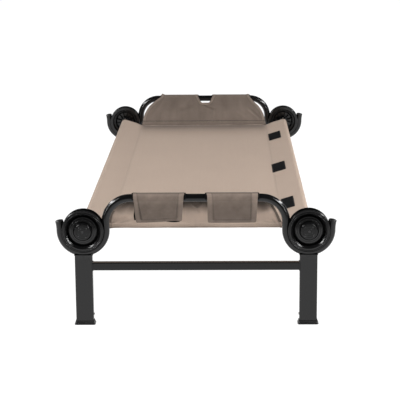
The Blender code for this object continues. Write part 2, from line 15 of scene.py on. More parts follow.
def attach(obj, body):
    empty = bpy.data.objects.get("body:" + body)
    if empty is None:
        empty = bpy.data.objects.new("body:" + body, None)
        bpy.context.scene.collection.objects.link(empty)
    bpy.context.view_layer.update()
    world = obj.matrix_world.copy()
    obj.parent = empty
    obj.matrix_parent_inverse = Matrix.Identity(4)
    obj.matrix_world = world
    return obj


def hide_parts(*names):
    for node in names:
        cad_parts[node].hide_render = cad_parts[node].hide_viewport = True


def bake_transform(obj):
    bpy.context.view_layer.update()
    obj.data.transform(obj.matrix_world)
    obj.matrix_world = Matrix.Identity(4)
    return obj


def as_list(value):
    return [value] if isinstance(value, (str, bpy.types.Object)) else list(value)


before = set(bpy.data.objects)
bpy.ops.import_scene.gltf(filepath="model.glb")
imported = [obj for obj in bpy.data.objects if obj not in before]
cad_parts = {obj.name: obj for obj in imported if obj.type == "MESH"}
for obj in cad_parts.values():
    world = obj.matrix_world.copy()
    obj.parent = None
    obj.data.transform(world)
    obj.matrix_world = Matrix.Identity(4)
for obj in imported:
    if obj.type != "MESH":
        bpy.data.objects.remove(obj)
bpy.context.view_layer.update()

# ------------------------------------------------------------------ sizes
END_Y, AXIS_X, AXIS_Z = 0.980, 0.3475, 0.3008
TUBE_R, TUBE_WALL = 0.0125, 0.0012
CRADLE_R, TIP_RISE, TIP_FLARE = 0.0697, 0.0285, 0.0030
ARCH_R, BAR_Z = 0.0770, 0.4020
LEG_W, LEG_D, LEG_WALL, LEG_CORNER = 0.0550, 0.0250, 0.0015, 0.0040
LEG_TOP, LEG_BOTTOM = 0.2232, 0.0035
CROSSBAR_H, CROSSBAR_D, CROSSBAR_Z = 0.0250, 0.0220, 0.1866
CAP_H = 0.0120
BUTTON_R, BUTTON_Z, BUTTON_PROUD = 0.0040, 0.0310, 0.0030
RAIL_R, RAIL_WALL, RAIL_END, JOINT_Y = 0.0110, 0.0012, 0.9840, 0.0300
INSERT_R, INSERT_LENGTH, SNAP_R = 0.0095, 0.0600, 0.0030
DISC_R, GROOVE_R, GROOVE_HALF, DISC_HALF = 0.0650, 0.0560, 0.0133, 0.0205
BOWL_R, RING_R, BOSS_R, BOSS_END = 0.0530, 0.0426, 0.0170, -0.0360
HUB_R, HUB_FACE, RIVET_A = 0.0280, 0.0280, -0.0280
GAP = 0.0003
SLEEVE_R, SLOPE, SEAM_X = 0.0133, math.radians(17), 0.2710
DECK_MID_Z, DECK_END_Z, SLEEVE_END, DECK_END = 0.2832, 0.2932, 0.9400, 0.9145
PANEL_FOOT, WRAP_R, HINGE_DEG = (0.0640, 0.2950), 0.0140, 112.0
TAB_OUT, TAB_IN = 0.1903, 0.0347
TAB_SHIFT = {"footend": -0.0003, "headend": -0.0060}
FLAP_END_Z = 0.3308
PATCH_W, PATCH_L, PATCH_T = 0.0510, 0.1500, 0.0020
PATCH_Y = {"foot": -0.608, "middle": -0.014, "head": 0.614}
ENDS = ("footend", "headend")


# ------------------------------------------------------- material building
class Finish:
    """A material and its nodes."""

    def __init__(self, name):
        self.made = bpy.data.materials.new(name)
        self.made.use_nodes = True
        self.tree = self.made.node_tree
        self.shader = self.tree.nodes["Principled BSDF"]

    def add(self, kind, **settings):
        node = self.tree.nodes.new(kind)
        for key, value in settings.items():
            setattr(node, key, value)
        return node

    def put(self, value, socket):
        if isinstance(value, (int, float)):
            socket.default_value = value
        elif isinstance(value, tuple):
            socket.default_value = (*value, 1.0)[: len(socket.default_value)]
        else:
            self.tree.links.new(value, socket)

    def math(self, operation, *values, clamp=False):
        node = self.add("ShaderNodeMath", operation=operation, use_clamp=clamp)
        for socket, value in zip(node.inputs, values):
            self.put(value, socket)
        return node.outputs[0]

    def remap(self, value, low, high, to_low, to_high, smooth=False):
        node = self.add("ShaderNodeMapRange", clamp=True)
        if smooth:
            node.interpolation_type = "SMOOTHSTEP"
        for i, v in enumerate((value, low, high, to_low, to_high)):
            self.put(v, node.inputs[i])
        return node.outputs[0]

    def mix(self, share, a, b):
        node = self.add("ShaderNodeMix", data_type="RGBA")
        self.put(share, node.inputs[0])
        self.put(a, node.inputs[6])
        self.put(b, node.inputs[7])
        return node.outputs[2]

    def scaled(self, vector, scale):
        node = self.add("ShaderNodeMapping")
        self.put(vector, node.inputs["Vector"])
        node.inputs["Scale"].default_value = scale
        return node.outputs[0]

    def noise(self, vector, scale, detail=2.0, rough=0.5, bend=0.0):
        node = self.add("ShaderNodeTexNoise")
        self.put(vector, node.inputs["Vector"])
        node.inputs["Scale"].default_value = scale
        node.inputs["Detail"].default_value = detail
        node.inputs["Roughness"].default_value = rough
        node.inputs["Distortion"].default_value = bend
        return node.outputs[0]

    def cells(self, vector, scale):
        node = self.add("ShaderNodeTexVoronoi")
        self.put(vector, node.inputs["Vector"])
        node.inputs["Scale"].default_value = scale
        return node.outputs[0]

    def bump(self, height, distance, strength=1.0, under=None):
        node = self.add("ShaderNodeBump")
        node.inputs["Distance"].default_value = distance
        node.inputs["Strength"].default_value = strength
        self.put(height, node.inputs["Height"])
        if under is not None:
            self.put(under, node.inputs["Normal"])
        return node.outputs[0]

    def place(self, kind="Object"):
        return self.add("ShaderNodeTexCoord").outputs[kind]

    def set(self, **values):
        names = {
            "colour": "Base Color",
            "rough": "Roughness",
            "metal": "Metallic",
            "normal": "Normal",
            "sheen": "Sheen Weight",
            "sheen_rough": "Sheen Roughness",
            "level": "Specular IOR Level",
            "coat": "Coat Weight",
            "coat_rough": "Coat Roughness",
        }
        for key, value in values.items():
            self.put(value, self.shader.inputs[names[key]])
        return self.made


def tint(colour, times):
    return tuple(c * times for c in colour)


def woven(name, colour, pitch, contrast, sheen, rough, streak=0.05, cloud=0.05, grime=0.0):
    """Plain weave: warp along the cloth's length, weft across. The cloth's own map is in metres."""
    f = Finish(name)
    uv = f.add("ShaderNodeUVMap", uv_map="Cloth").outputs[0]
    split = f.add("ShaderNodeSeparateXYZ")
    f.put(uv, split.inputs[0])
    across, along = split.outputs[0], split.outputs[1]
    # Yarns wander a little, so the weave isn't a ruled grid.
    wander = f.noise(f.scaled(uv, (30.0, 30.0, 1.0)), 1.0, 1.0)
    wander = f.math("MULTIPLY", f.math("SUBTRACT", wander, 0.5), 1.2)
    p = f.math("ADD", f.math("MULTIPLY", across, 1.0 / pitch), wander)
    q = f.math("ADD", f.math("MULTIPLY", along, 1.0 / pitch), wander)
    sp, sq = (f.math("SINE", f.math("MULTIPLY", v, math.pi)) for v in (p, q))
    ap, aq = f.math("ABSOLUTE", sp), f.math("ABSOLUTE", sq)
    over = f.remap(f.math("MULTIPLY", sp, sq), -0.12, 0.12, 0.0, 1.0)
    warp = f.math("MULTIPLY", ap, f.math("MULTIPLY_ADD", aq, 0.45, 0.55))
    weft = f.math("MULTIPLY", aq, f.math("MULTIPLY_ADD", ap, 0.45, 0.55))
    height = f.math(
        "ADD",
        f.math("MULTIPLY", warp, over),
        f.math("MULTIPLY", weft, f.math("SUBTRACT", 1.0, over)),
    )
    # Each yarn has its own shade, and long thick and thin places.
    shades = []
    for index, (line, scale) in enumerate(((p, (420.0, 5.0, 1.0)), (q, (5.0, 420.0, 1.0)))):
        one = f.add("ShaderNodeTexWhiteNoise", noise_dimensions="1D")
        f.put(f.math("ADD", f.math("FLOOR", line), 97.0 * index), one.inputs["W"])
        slub = f.noise(f.scaled(uv, scale), 1.0, 2.0)
        shade = f.math("ADD", f.math("MULTIPLY", one.outputs["Value"], 0.35), slub)
        shades.append(f.remap(shade, 0.30, 1.05, 1.0 - streak, 1.0 + streak))
    yarn = f.math(
        "ADD",
        f.math("MULTIPLY", shades[0], over),
        f.math("MULTIPLY", shades[1], f.math("SUBTRACT", 1.0, over)),
    )
    clouds = f.noise(f.scaled(uv, (6.0, 4.0, 1.0)), 1.0, 4.0, 0.55)
    clouds = f.remap(clouds, 0.30, 0.70, 1.0 - cloud, 1.0 + cloud)
    pores = f.remap(height, 0.05, 0.75, 1.0 - contrast, 1.0)
    value = f.math("MULTIPLY", f.math("MULTIPLY", yarn, clouds), pores)
    # Painted shade and light at each point of the cloth: painted shadows by the bar and the end panels, painted shading
    # of seams, hem edges, folds and the sleeves' sides, with some soiled seams and faded hems.
    shade = f.add("ShaderNodeAttribute", attribute_name="tone").outputs["Fac"]
    value = f.math("MULTIPLY", value, shade)
    base = f.mix(value, (0.0, 0.0, 0.0), colour)
    f.tree.nodes[-1].clamp_factor = False
    if grime:
        spots = f.noise(f.scaled(uv, (38.0, 30.0, 1.0)), 1.0, 3.0, 0.6, 0.6)
        spots = f.remap(spots, 0.50, 0.72, 0.0, grime, smooth=True)
        base = f.mix(spots, base, tint(colour, 0.62))
    fuzz = f.noise(f.scaled(uv, (1500.0, 1500.0, 1.0)), 1.0, 2.0)
    normal = f.bump(height, pitch * 0.22, 0.75)
    normal = f.bump(fuzz, pitch * 0.10, 0.35, under=normal)
    uneven = f.noise(f.scaled(uv, (55.0, 55.0, 1.0)), 1.0, 3.0)
    return f.set(
        colour=base,
        rough=f.remap(uneven, 0.3, 0.7, rough - 0.05, rough + 0.05),
        normal=normal,
        sheen=sheen,
        sheen_rough=0.45,
        level=0.25,
    )


def coated(name, colour, rough, grain, wear, scratches=0.25, level=0.44):
    """Powder-coated steel: orange peel, slight mottling, edges rubbed to a lighter grey."""
    f = Finish(name)
    at = f.place()
    peel = f.noise(at, 900.0, 3.0, 0.55)
    coarse = f.noise(at, 160.0, 2.0)
    mottle = f.noise(at, 14.0, 4.0, 0.6)
    edge = f.add("ShaderNodeNewGeometry").outputs["Pointiness"]
    patchy = f.remap(f.noise(at, 60.0, 3.0, 0.6), 0.42, 0.66, 0.0, 1.0)
    rubbed = f.math("MULTIPLY", f.remap(edge, 0.53, 0.62, 0.0, wear), patchy, clamp=True)
    lines = f.noise(f.scaled(at, (260.0, 260.0, 7.0)), 1.0, 2.0, 0.7, 0.3)
    lines = f.remap(lines, 0.66, 0.74, 0.0, scratches)
    base = f.mix(f.remap(mottle, 0.3, 0.7, 0.0, 1.0), tint(colour, 0.86), tint(colour, 1.16))
    base = f.mix(rubbed, base, (0.11, 0.11, 0.112))
    base = f.mix(lines, base, tint(colour, 1.9))
    normal = f.bump(coarse, 0.00030, 0.12)
    normal = f.bump(peel, 0.00012 * grain, 0.6, under=normal)
    gloss = f.math("ADD", f.remap(mottle, 0.3, 0.7, rough - 0.05, rough + 0.05), f.math("MULTIPLY", lines, 0.2))
    return f.set(colour=base, rough=gloss, normal=normal, level=level)


def moulded(name, colour, rough, wear=0.25, level=0.46):
    """Moulded plastic: spark-eroded grain, faint flow marks, handling marks."""
    f = Finish(name)
    at = f.place()
    grain = f.noise(at, 1500.0, 2.0, 0.6)
    flow = f.noise(f.scaled(at, (18.0, 18.0, 60.0)), 1.0, 3.0, 0.55, 0.8)
    smear = f.noise(at, 42.0, 4.0, 0.65)
    edge = f.add("ShaderNodeNewGeometry").outputs["Pointiness"]
    rubbed = f.remap(edge, 0.54, 0.66, 0.0, wear)
    base = f.mix(f.remap(flow, 0.3, 0.7, 0.0, 1.0), tint(colour, 0.85), tint(colour, 1.2))
    base = f.mix(rubbed, base, tint(colour, 2.6))
    normal = f.bump(grain, 0.00008, 0.45)
    gloss = f.remap(smear, 0.32, 0.68, rough - 0.06, rough + 0.07)
    return f.set(colour=base, rough=gloss, normal=normal, level=level)


def bright_steel(name, colour, rough):
    """Zinc-plated steel: brushed, with a crystalline bloom."""
    f = Finish(name)
    at = f.place()
    brushed = f.noise(f.scaled(at, (1400.0, 90.0, 90.0)), 1.0, 2.0)
    bloom = f.cells(at, 420.0)
    base = f.mix(f.remap(bloom, 0.0, 0.9, 0.0, 1.0), tint(colour, 0.82), tint(colour, 1.08))
    gloss = f.remap(brushed, 0.3, 0.7, rough - 0.07, rough + 0.09)
    return f.set(colour=base, rough=gloss, normal=f.bump(brushed, 0.00006, 0.5), metal=1.0)


def looped(name, colour):
    """The loop side of a hook-and-loop fastener: short tangled pile."""
    f = Finish(name)
    at = f.place()
    curls = f.noise(at, 950.0, 3.0, 0.7, 1.4)
    tufts = f.cells(at, 620.0)
    rows = f.noise(f.scaled(at, (60.0, 700.0, 60.0)), 1.0, 2.0)
    worn = f.noise(at, 45.0, 3.0)
    share = f.math("MULTIPLY", f.remap(curls, 0.35, 0.75, 0.0, 1.0), f.remap(worn, 0.2, 0.8, 0.5, 1.0))
    base = f.mix(share, tint(colour, 0.45), tint(colour, 1.9))
    normal = f.bump(tufts, 0.0006, 0.5)
    normal = f.bump(curls, 0.0008, 0.8, under=normal)
    return f.set(
        colour=base, rough=f.remap(rows, 0.3, 0.7, 0.82, 0.98), normal=normal, sheen=0.0, sheen_rough=0.4, level=0.06
    )


def sewing_thread(name, colour):
    f = Finish(name)
    at = f.place()
    twist = f.noise(f.scaled(at, (2600.0, 2600.0, 900.0)), 1.0, 2.0)
    base = f.mix(f.remap(twist, 0.3, 0.7, 0.0, 1.0), tint(colour, 0.75), tint(colour, 1.12))
    return f.set(colour=base, rough=f.remap(twist, 0.3, 0.7, 0.5, 0.65), normal=f.bump(twist, 0.0001, 0.6), sheen=0.1)


LIGHT_CLOTH = (0.420, 0.327, 0.264)
DARK_CLOTH = (0.214, 0.167, 0.137)
DECK = woven("deck_weave", LIGHT_CLOTH, 0.00115, 0.22, 0.03, 0.86, streak=0.05, cloud=0.020)
DECK_UNDER = woven("deck_weave_coated_side", tint(LIGHT_CLOTH, 0.86), 0.00115, 0.10, 0.0, 0.62, streak=0.03, cloud=0.03)
PANEL_FACE = woven("panel_weave", DARK_CLOTH, 0.00105, 0.25, 0.05, 0.86, streak=0.06, cloud=0.06, grime=0.35)
PANEL_BACK = woven("panel_weave_light_side", (0.655, 0.508, 0.412), 0.00105, 0.20, 0.02, 0.84, streak=0.05, cloud=0.03)
HEM = woven("hem_weave", tint(DARK_CLOTH, 1.12), 0.00105, 0.25, 0.05, 0.86, streak=0.06, cloud=0.04)
THREAD = sewing_thread("sewing_thread", (0.30, 0.245, 0.20))
DARK_THREAD = sewing_thread("dark_sewing_thread", (0.16, 0.13, 0.11))
BLACK_THREAD = sewing_thread("black_sewing_thread", (0.02, 0.02, 0.022))
POWDER = coated("powder_coat", (0.0032, 0.0032, 0.0034), 0.16, 0.5, 0.25)
BAR_POWDER = coated("powder_coat_bar", (0.0032, 0.0032, 0.0034), 0.17, 0.5, 0.25, level=0.35)
RAIL_COAT = coated("rail_coat", (0.020, 0.020, 0.021), 0.34, 0.6, 0.6, 0.5)
PLASTIC = moulded("moulded_black", (0.0034, 0.0034, 0.0036), 0.17)
HUB_PLASTIC = moulded("moulded_hub", (0.0034, 0.0034, 0.0036), 0.20, level=0.34)
SOFT_PLASTIC = moulded("moulded_foot", (0.0070, 0.0070, 0.0073), 0.38, 0.4)
# Light grey for the hub's centre mark: a painted highlight.
HUB_CENTRE_HIGHLIGHT = moulded("moulded_painted_highlight", (0.0420, 0.0420, 0.0426), 0.55, 0.4, level=0.34)
ZINC = bright_steel("zinc_plate", (0.56, 0.56, 0.55), 0.34)
LOOPS = looped("loop_pile", (0.0078, 0.0080, 0.0086))
HOOKS = looped("hook_tape", (0.0052, 0.0052, 0.0056))


# ------------------------------------------------------------ mesh building
def set_tone(mesh, tone=None):
    """The shade at each point that the woven materials read. 1 is the cloth's own colour."""
    shade = mesh.attributes.new("tone", "FLOAT", "POINT")
    values = np.ones(len(mesh.vertices), np.float32) if tone is None else np.asarray(tone, np.float32)
    shade.data.foreach_set("value", values)


def made_object(name, verts, faces, materials, uv=None, index=None, sharp=35.0, tone=None):
    mesh = bpy.data.meshes.new(name)
    mesh.from_pydata([tuple(map(float, v)) for v in verts], [], [tuple(map(int, f)) for f in faces])
    for material in materials:
        mesh.materials.append(material)
    if index is not None:
        mesh.polygons.foreach_set("material_index", np.asarray(index, np.int32))
    if uv is not None:
        layer = mesh.uv_layers.new(name="Cloth")
        corner = np.zeros(len(mesh.loops), np.int32)
        mesh.loops.foreach_get("vertex_index", corner)
        layer.data.foreach_set("uv", np.asarray(uv, np.float32)[corner].ravel())
        set_tone(mesh, tone)
    mesh.shade_smooth()
    if sharp is not None:
        mesh.set_sharp_from_angle(angle=math.radians(sharp))
    mesh.update()
    obj = bpy.data.objects.new(name, mesh)
    bpy.context.scene.collection.objects.link(obj)
    return obj


def grid_faces(rows, cols, wrap_rows=False, wrap_cols=False):
    i, j = np.meshgrid(
        np.arange(rows if wrap_rows else rows - 1),
        np.arange(cols if wrap_cols else cols - 1),
        indexing="ij",
    )
    i, j = i.ravel(), j.ravel()
    k, l = (i + 1) % rows, (j + 1) % cols
    return np.stack([i * cols + j, i * cols + l, k * cols + l, k * cols + j], 1)


def steady(obj):
    """Flat faces keep their own normals beside rounded edges."""
    weighted = obj.modifiers.new("even_normals", "WEIGHTED_NORMAL")
    weighted.keep_sharp = True
    weighted.weight = 50
    return obj


def placed(name, like, matrix):
    """Another object with the same mesh."""
    obj = bpy.data.objects.new(name, like.data)
    bpy.context.scene.collection.objects.link(obj)
    for old in like.modifiers:
        new = obj.modifiers.new(old.name, old.type)
        if old.type == "WEIGHTED_NORMAL":
            new.keep_sharp, new.weight = old.keep_sharp, old.weight
    obj.matrix_world = matrix
    return obj


def discard(obj):
    bpy.data.objects.remove(obj, do_unlink=True)


def soften(points, radius, closed=False, steps=4, limit=0.42):
    """A profile with its corners rounded."""
    out, count = [], len(points)
    for i, point in enumerate(points):
        here = Vector(point[:2])
        r = point[2] if len(point) > 2 else radius
        if not closed and i in (0, count - 1) or r <= 0:
            out.append(tuple(here))
            continue
        before, after = Vector(points[i - 1][:2]), Vector(points[(i + 1) % count][:2])
        a, b = before - here, after - here
        la, lb = a.length, b.length
        a.normalize()
        b.normalize()
        turn = math.acos(max(-1.0, min(1.0, a.dot(b))))
        if turn > math.radians(176):
            out.append(tuple(here))
            continue
        back = min(r / math.tan(turn / 2), la * limit, lb * limit)
        r = back * math.tan(turn / 2)
        middle = here + (a + b).normalized() * (r / math.sin(turn / 2))
        first, last = here + a * back - middle, here + b * back - middle
        whole = math.atan2(first.x * last.y - first.y * last.x, first.dot(last))
        for k in range(steps + 1):
            angle = whole * k / steps
            c, s = math.cos(angle), math.sin(angle)
            out.append((middle.x + first.x * c - first.y * s, middle.y + first.x * s + first.y * c))
    return out


def turned(name, profile, steps, material, closed=False):
    """A shape turned about local Z from (radius, height) points."""
    area = sum(a[0] * b[1] - b[0] * a[1] for a, b in zip(profile, profile[1:] + profile[:1]))
    points = profile[::-1] if area > 0 else profile
    verts, rings = [], []
    for r, z in points:
        if r < 1e-7:
            rings.append([len(verts)] * steps)
            verts.append((0.0, 0.0, z))
        else:
            rings.append(list(range(len(verts), len(verts) + steps)))
            verts += [
                (r * math.cos(math.tau * k / steps), r * math.sin(math.tau * k / steps), z)
                for k in range(steps)
            ]
    faces = []
    pairs = list(zip(rings, rings[1:] + rings[:1])) if closed else list(zip(rings, rings[1:]))
    for one, two in pairs:
        for k in range(steps):
            n = (k + 1) % steps
            face = []
            for v in (one[k], two[k], two[n], one[n]):
                if v not in face:
                    face.append(v)
            if len(face) > 2:
                faces.append(face)
    obj = made_object(name, verts, faces, [material])
    bm = bmesh.new()
    bm.from_mesh(obj.data)
    if bm.calc_volume(signed=True) < 0:
        bmesh.ops.reverse_faces(bm, faces=bm.faces)
        bm.to_mesh(obj.data)
    bm.free()
    return steady(obj)


def cut_away(obj, *cutters, union=False):
    """Boolean, applied."""
    for cutter in cutters:
        boolean = obj.modifiers.new("cut", "BOOLEAN")
        boolean.operation = "UNION" if union else "DIFFERENCE"
        boolean.solver = "EXACT"
        boolean.object = cutter
    kept = [m for m in obj.modifiers if m.type == "WEIGHTED_NORMAL"]
    for m in kept:
        obj.modifiers.remove(m)
    bpy.context.view_layer.update()
    graph = bpy.context.evaluated_depsgraph_get()
    mesh = bpy.data.meshes.new_from_object(obj.evaluated_get(graph))
    obj.modifiers.clear()
    old, obj.data = obj.data, mesh
    bpy.data.meshes.remove(old)
    mesh.shade_smooth()
    mesh.set_sharp_from_angle(angle=math.radians(35))
    for cutter in cutters:
        discard(cutter)
    if kept:
        steady(obj)
    return obj


def rod(name, radius, length, centre, axis, sides=32):
    """A plain cutter."""
    bm = bmesh.new()
    bmesh.ops.create_cone(bm, cap_ends=True, segments=sides, radius1=radius, radius2=radius, depth=length)
    turn = Vector((0, 0, 1)).rotation_difference(Vector(axis)).to_matrix().to_4x4()
    bmesh.ops.transform(bm, matrix=Matrix.Translation(centre) @ turn, verts=bm.verts)
    mesh = bpy.data.meshes.new(name)
    bm.to_mesh(mesh)
    bm.free()
    obj = bpy.data.objects.new(name, mesh)
    bpy.context.scene.collection.objects.link(obj)
    return obj


def tube(name, line, radius, sides, material, wall=None, ripple=None, closed=False, across=(0.0, 1.0, 0.0)):
    """A round tube along points that lie nearly square to a direction."""
    line = np.asarray(line, float)
    if closed:
        along = np.roll(line, -1, 0) - np.roll(line, 1, 0)
    else:
        along = np.gradient(line, axis=0)
    along /= np.linalg.norm(along, axis=1)[:, None]
    side = np.asarray(across, float)[None] - along * (along @ np.asarray(across, float))[:, None]
    side /= np.linalg.norm(side, axis=1)[:, None]
    up = np.cross(side, along)
    turn = np.arange(sides) * math.tau / sides
    radii = np.full(len(line), radius) if ripple is None else radius * ripple

    def ring(r):
        return (
            line[:, None]
            + r[:, None, None] * (np.cos(turn)[None, :, None] * side[:, None] + np.sin(turn)[None, :, None] * up[:, None])
        ).reshape(-1, 3)

    verts = ring(radii)
    faces = grid_faces(len(line), sides, wrap_rows=closed, wrap_cols=True)[:, ::-1]
    n = len(verts)
    if wall:
        inner = ring(radii - wall)
        faces = np.concatenate([faces, faces[:, ::-1] + n])
        k = np.arange(sides)
        l = (k + 1) % sides
        first = np.stack([k, k + n, l + n, l], 1)
        last = np.stack([k, l, l + n, k + n], 1) + (len(line) - 1) * sides
        faces = np.concatenate([faces, first[:, ::-1], last[:, ::-1]])
        verts = np.concatenate([verts, inner])
        faces = faces.tolist()
    else:
        faces = faces.tolist()
        if not closed:
            ends = []
            for row, flip in ((0, 1), (len(line) - 1, 0)):
                way = along[row] * (-1 if flip else 1)
                verts = np.concatenate([verts, [line[row] + way * radii[row] * 0.6]])
                tip = len(verts) - 1
                for k in range(sides):
                    a, b = row * sides + k, row * sides + (k + 1) % sides
                    ends.append([b, a, tip] if not flip else [a, b, tip])
            faces += ends
    obj = made_object(name, verts, faces, [material])
    right_way_out(obj)
    return obj


def right_way_out(obj):
    bm = bmesh.new()
    bm.from_mesh(obj.data)
    if bm.calc_volume(signed=True) < 0:
        bmesh.ops.reverse_faces(bm, faces=bm.faces)
        bm.to_mesh(obj.data)
    bm.free()


def smoothstep(low, high, value):
    t = np.clip((np.asarray(value, float) - low) / (high - low), 0.0, 1.0)
    return t * t * (3 - 2 * t)


def bell(value, width):
    return np.exp(-((np.asarray(value, float) / width) ** 2))


def wobble(points, scale, seed=0.0):
    """Smooth noise from -1 to 1 at each row of points."""
    scale = np.asarray(scale, float)
    return np.array([noise.noise(Vector(p * scale) + Vector((seed, seed * 1.7, seed * 0.3))) for p in points])


def normals_of(verts, faces):
    a, b, c, d = (verts[faces[:, i]] for i in range(4))
    cross = np.cross(c - a, d - b)
    out = np.zeros_like(verts)
    for i in range(4):
        np.add.at(out, faces[:, i], cross)
    return out / np.maximum(np.linalg.norm(out, axis=1), 1e-12)[:, None]


def cloth_piece(name, verts, faces, uv, over, under, materials, index=None, fold=0.5, tone=1.0, under_tone=1.0, under_index=None):
    """A sheet with two faces and a rounded edge. over and under are its thickness each side of verts."""
    faces = np.asarray(faces)
    n = len(verts)
    normal = normals_of(verts, faces)
    over, under = (np.broadcast_to(np.asarray(t, float), (n,))[:, None] for t in (over, under))
    top, bottom = verts + normal * over, verts - normal * under
    edges = np.concatenate([faces[:, [i, (i + 1) % 4]] for i in range(4)])
    keys = {(int(a), int(b)) for a, b in edges}
    rim = [(a, b) for a, b in keys if (b, a) not in keys]
    rim.sort()
    out = np.zeros((n, 3))
    for a, b in rim:
        away = np.cross(verts[b] - verts[a], normal[a] + normal[b])
        away /= max(np.linalg.norm(away), 1e-12)
        out[a] += away
        out[b] += away
    rim_verts = sorted({v for pair in rim for v in pair})
    where = {v: 2 * n + i for i, v in enumerate(rim_verts)}
    middle = []
    for v in rim_verts:
        away = out[v] / max(np.linalg.norm(out[v]), 1e-12)
        middle.append((top[v] + bottom[v]) / 2 + away * float(over[v, 0] + under[v, 0]) * fold)
    every = np.concatenate([top, bottom, np.array(middle)])
    quads = [faces, faces[:, ::-1] + n]
    side = []
    for a, b in rim:
        side.append([b, a, where[a], where[b]])
        side.append([where[b], where[a], a + n, b + n])
    quads.append(np.array(side))
    face_index = np.zeros(len(faces), int) if index is None else np.asarray(index)
    if under_index is None:
        under_index = np.ones(len(faces), int) if len(materials) > 1 else face_index
    all_index = np.concatenate([face_index, under_index, np.zeros(len(side), int)])
    every_uv = np.concatenate([uv, uv, uv[rim_verts]])
    tone, under_tone = (np.broadcast_to(np.asarray(t, float), (n,)) for t in (tone, under_tone))
    every_tone = np.concatenate([tone, under_tone, (tone[rim_verts] + under_tone[rim_verts]) / 2])
    return made_object(name, every, np.concatenate(quads), materials, uv=every_uv, index=all_index, sharp=None, tone=every_tone)


def stitches(name, rows, material, pitch=0.0048, length=0.0036, width=0.00075, lift=0.0002):
    """Rows of raised stitches. Each row is (points, normals) along a seam, in metres."""
    verts, faces = [], []
    profile = ((-0.5, 0.25), (-0.32, 0.85), (0.0, 1.0), (0.32, 0.85), (0.5, 0.25))
    for points, normals in rows:
        points, normals = np.asarray(points, float), np.asarray(normals, float)
        run = np.concatenate([[0.0], np.cumsum(np.linalg.norm(np.diff(points, axis=0), axis=1))])
        count = max(1, int(run[-1] / pitch))
        for k in range(count):
            at = (k + 0.5) * run[-1] / count
            p, q, o = (
                np.array([np.interp(at + d, run, points[:, i]) for i in range(3)])
                for d in (-length / 2, length / 2, 0.0)
            )
            way = q - p
            size = np.linalg.norm(way)
            if size < length * 0.5:
                continue
            way /= size
            up = np.array([np.interp(at, run, normals[:, i]) for i in range(3)])
            up -= way * (up @ way)
            up /= max(np.linalg.norm(up), 1e-9)
            side = np.cross(way, up)
            first = len(verts)
            for share, fat in profile:
                sink = -0.0002 * abs(share) * 2
                centre = o + way * share * length + up * (lift + sink)
                for turn in range(6):
                    angle = turn * math.tau / 6
                    verts.append(
                        centre
                        + side * math.cos(angle) * width * 0.5 * fat
                        + up * math.sin(angle) * width * 0.45 * fat
                    )
            for ring in range(4):
                for turn in range(6):
                    a, b = first + ring * 6 + turn, first + ring * 6 + (turn + 1) % 6
                    faces.append([a, b, b + 6, a + 6])
            faces.append([first + i for i in range(6)][::-1])
            faces.append([first + 24 + i for i in range(6)])
    obj = made_object(name, verts, faces, [material], sharp=60.0)
    right_way_out(obj)
    return obj


def carries(obj, body, slot, *nodes):
    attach(obj, body)
    if nodes:
        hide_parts(*nodes)
    return obj


# ------------------------------------------------------------ bent tubes
def degrees_arc(cx, cz, radius, start, end, step=2.5):
    count = max(2, int(abs(end - start) / step))
    return [
        (cx + radius * math.cos(math.radians(a)), cz + radius * math.sin(math.radians(a)))
        for a in np.linspace(start, end, count + 1)
    ]


def bow_half():
    """Left tip, round the cradle, up the arm and over the bend, to the top bar."""
    tip = []
    for t in np.linspace(1.0, 0.0, 9)[:-1]:
        tip.append((-AXIS_X - CRADLE_R - TIP_FLARE * t * t, AXIS_Z + TIP_RISE * t))
    cradle = degrees_arc(-AXIS_X, AXIS_Z, CRADLE_R, 180, 360)
    arm_x, spring = -AXIS_X + CRADLE_R, BAR_Z - ARCH_R
    bend = degrees_arc(arm_x + ARCH_R, spring, ARCH_R, 180, 90)
    bar_start = arm_x + ARCH_R
    bar = [(x, BAR_Z) for x in np.linspace(bar_start, 0.0, 22)[1:]]
    return tip + cradle + bend + bar


def bow_points(y):
    half = bow_half()
    whole = half + [(-x, z) for x, z in half[-2::-1]]
    return [(x, y, z) for x, z in whole]


def rounded_rectangle(width, depth, corner, long_steps, short_steps, corner_steps=6):
    """Anticlockwise outline, centred."""
    w, d = width / 2 - corner, depth / 2 - corner
    out = []
    for cx, cy, start, run in (
        (w, d, 0, (-1, 0)),
        (-w, d, 90, (0, -1)),
        (-w, -d, 180, (1, 0)),
        (w, -d, 270, (0, 1)),
    ):
        for k in range(corner_steps + 1):
            a = math.radians(start + 90 * k / corner_steps)
            out.append((cx + corner * math.cos(a), cy + corner * math.sin(a)))
        steps = long_steps if run[0] else short_steps
        span = 2 * w if run[0] else 2 * d
        last = out[-1]
        for k in range(1, steps):
            out.append((last[0] + run[0] * span * k / steps, last[1] + run[1] * span * k / steps))
    return np.array(out)


def under_tube(x, y):
    """Height of the underside of the cradle's tube above this point of the leg's section."""
    reach = CRADLE_R + math.sqrt(max(TUBE_R**2 - y * y, 0.0))
    return AXIS_Z - math.sqrt(reach**2 - x * x)


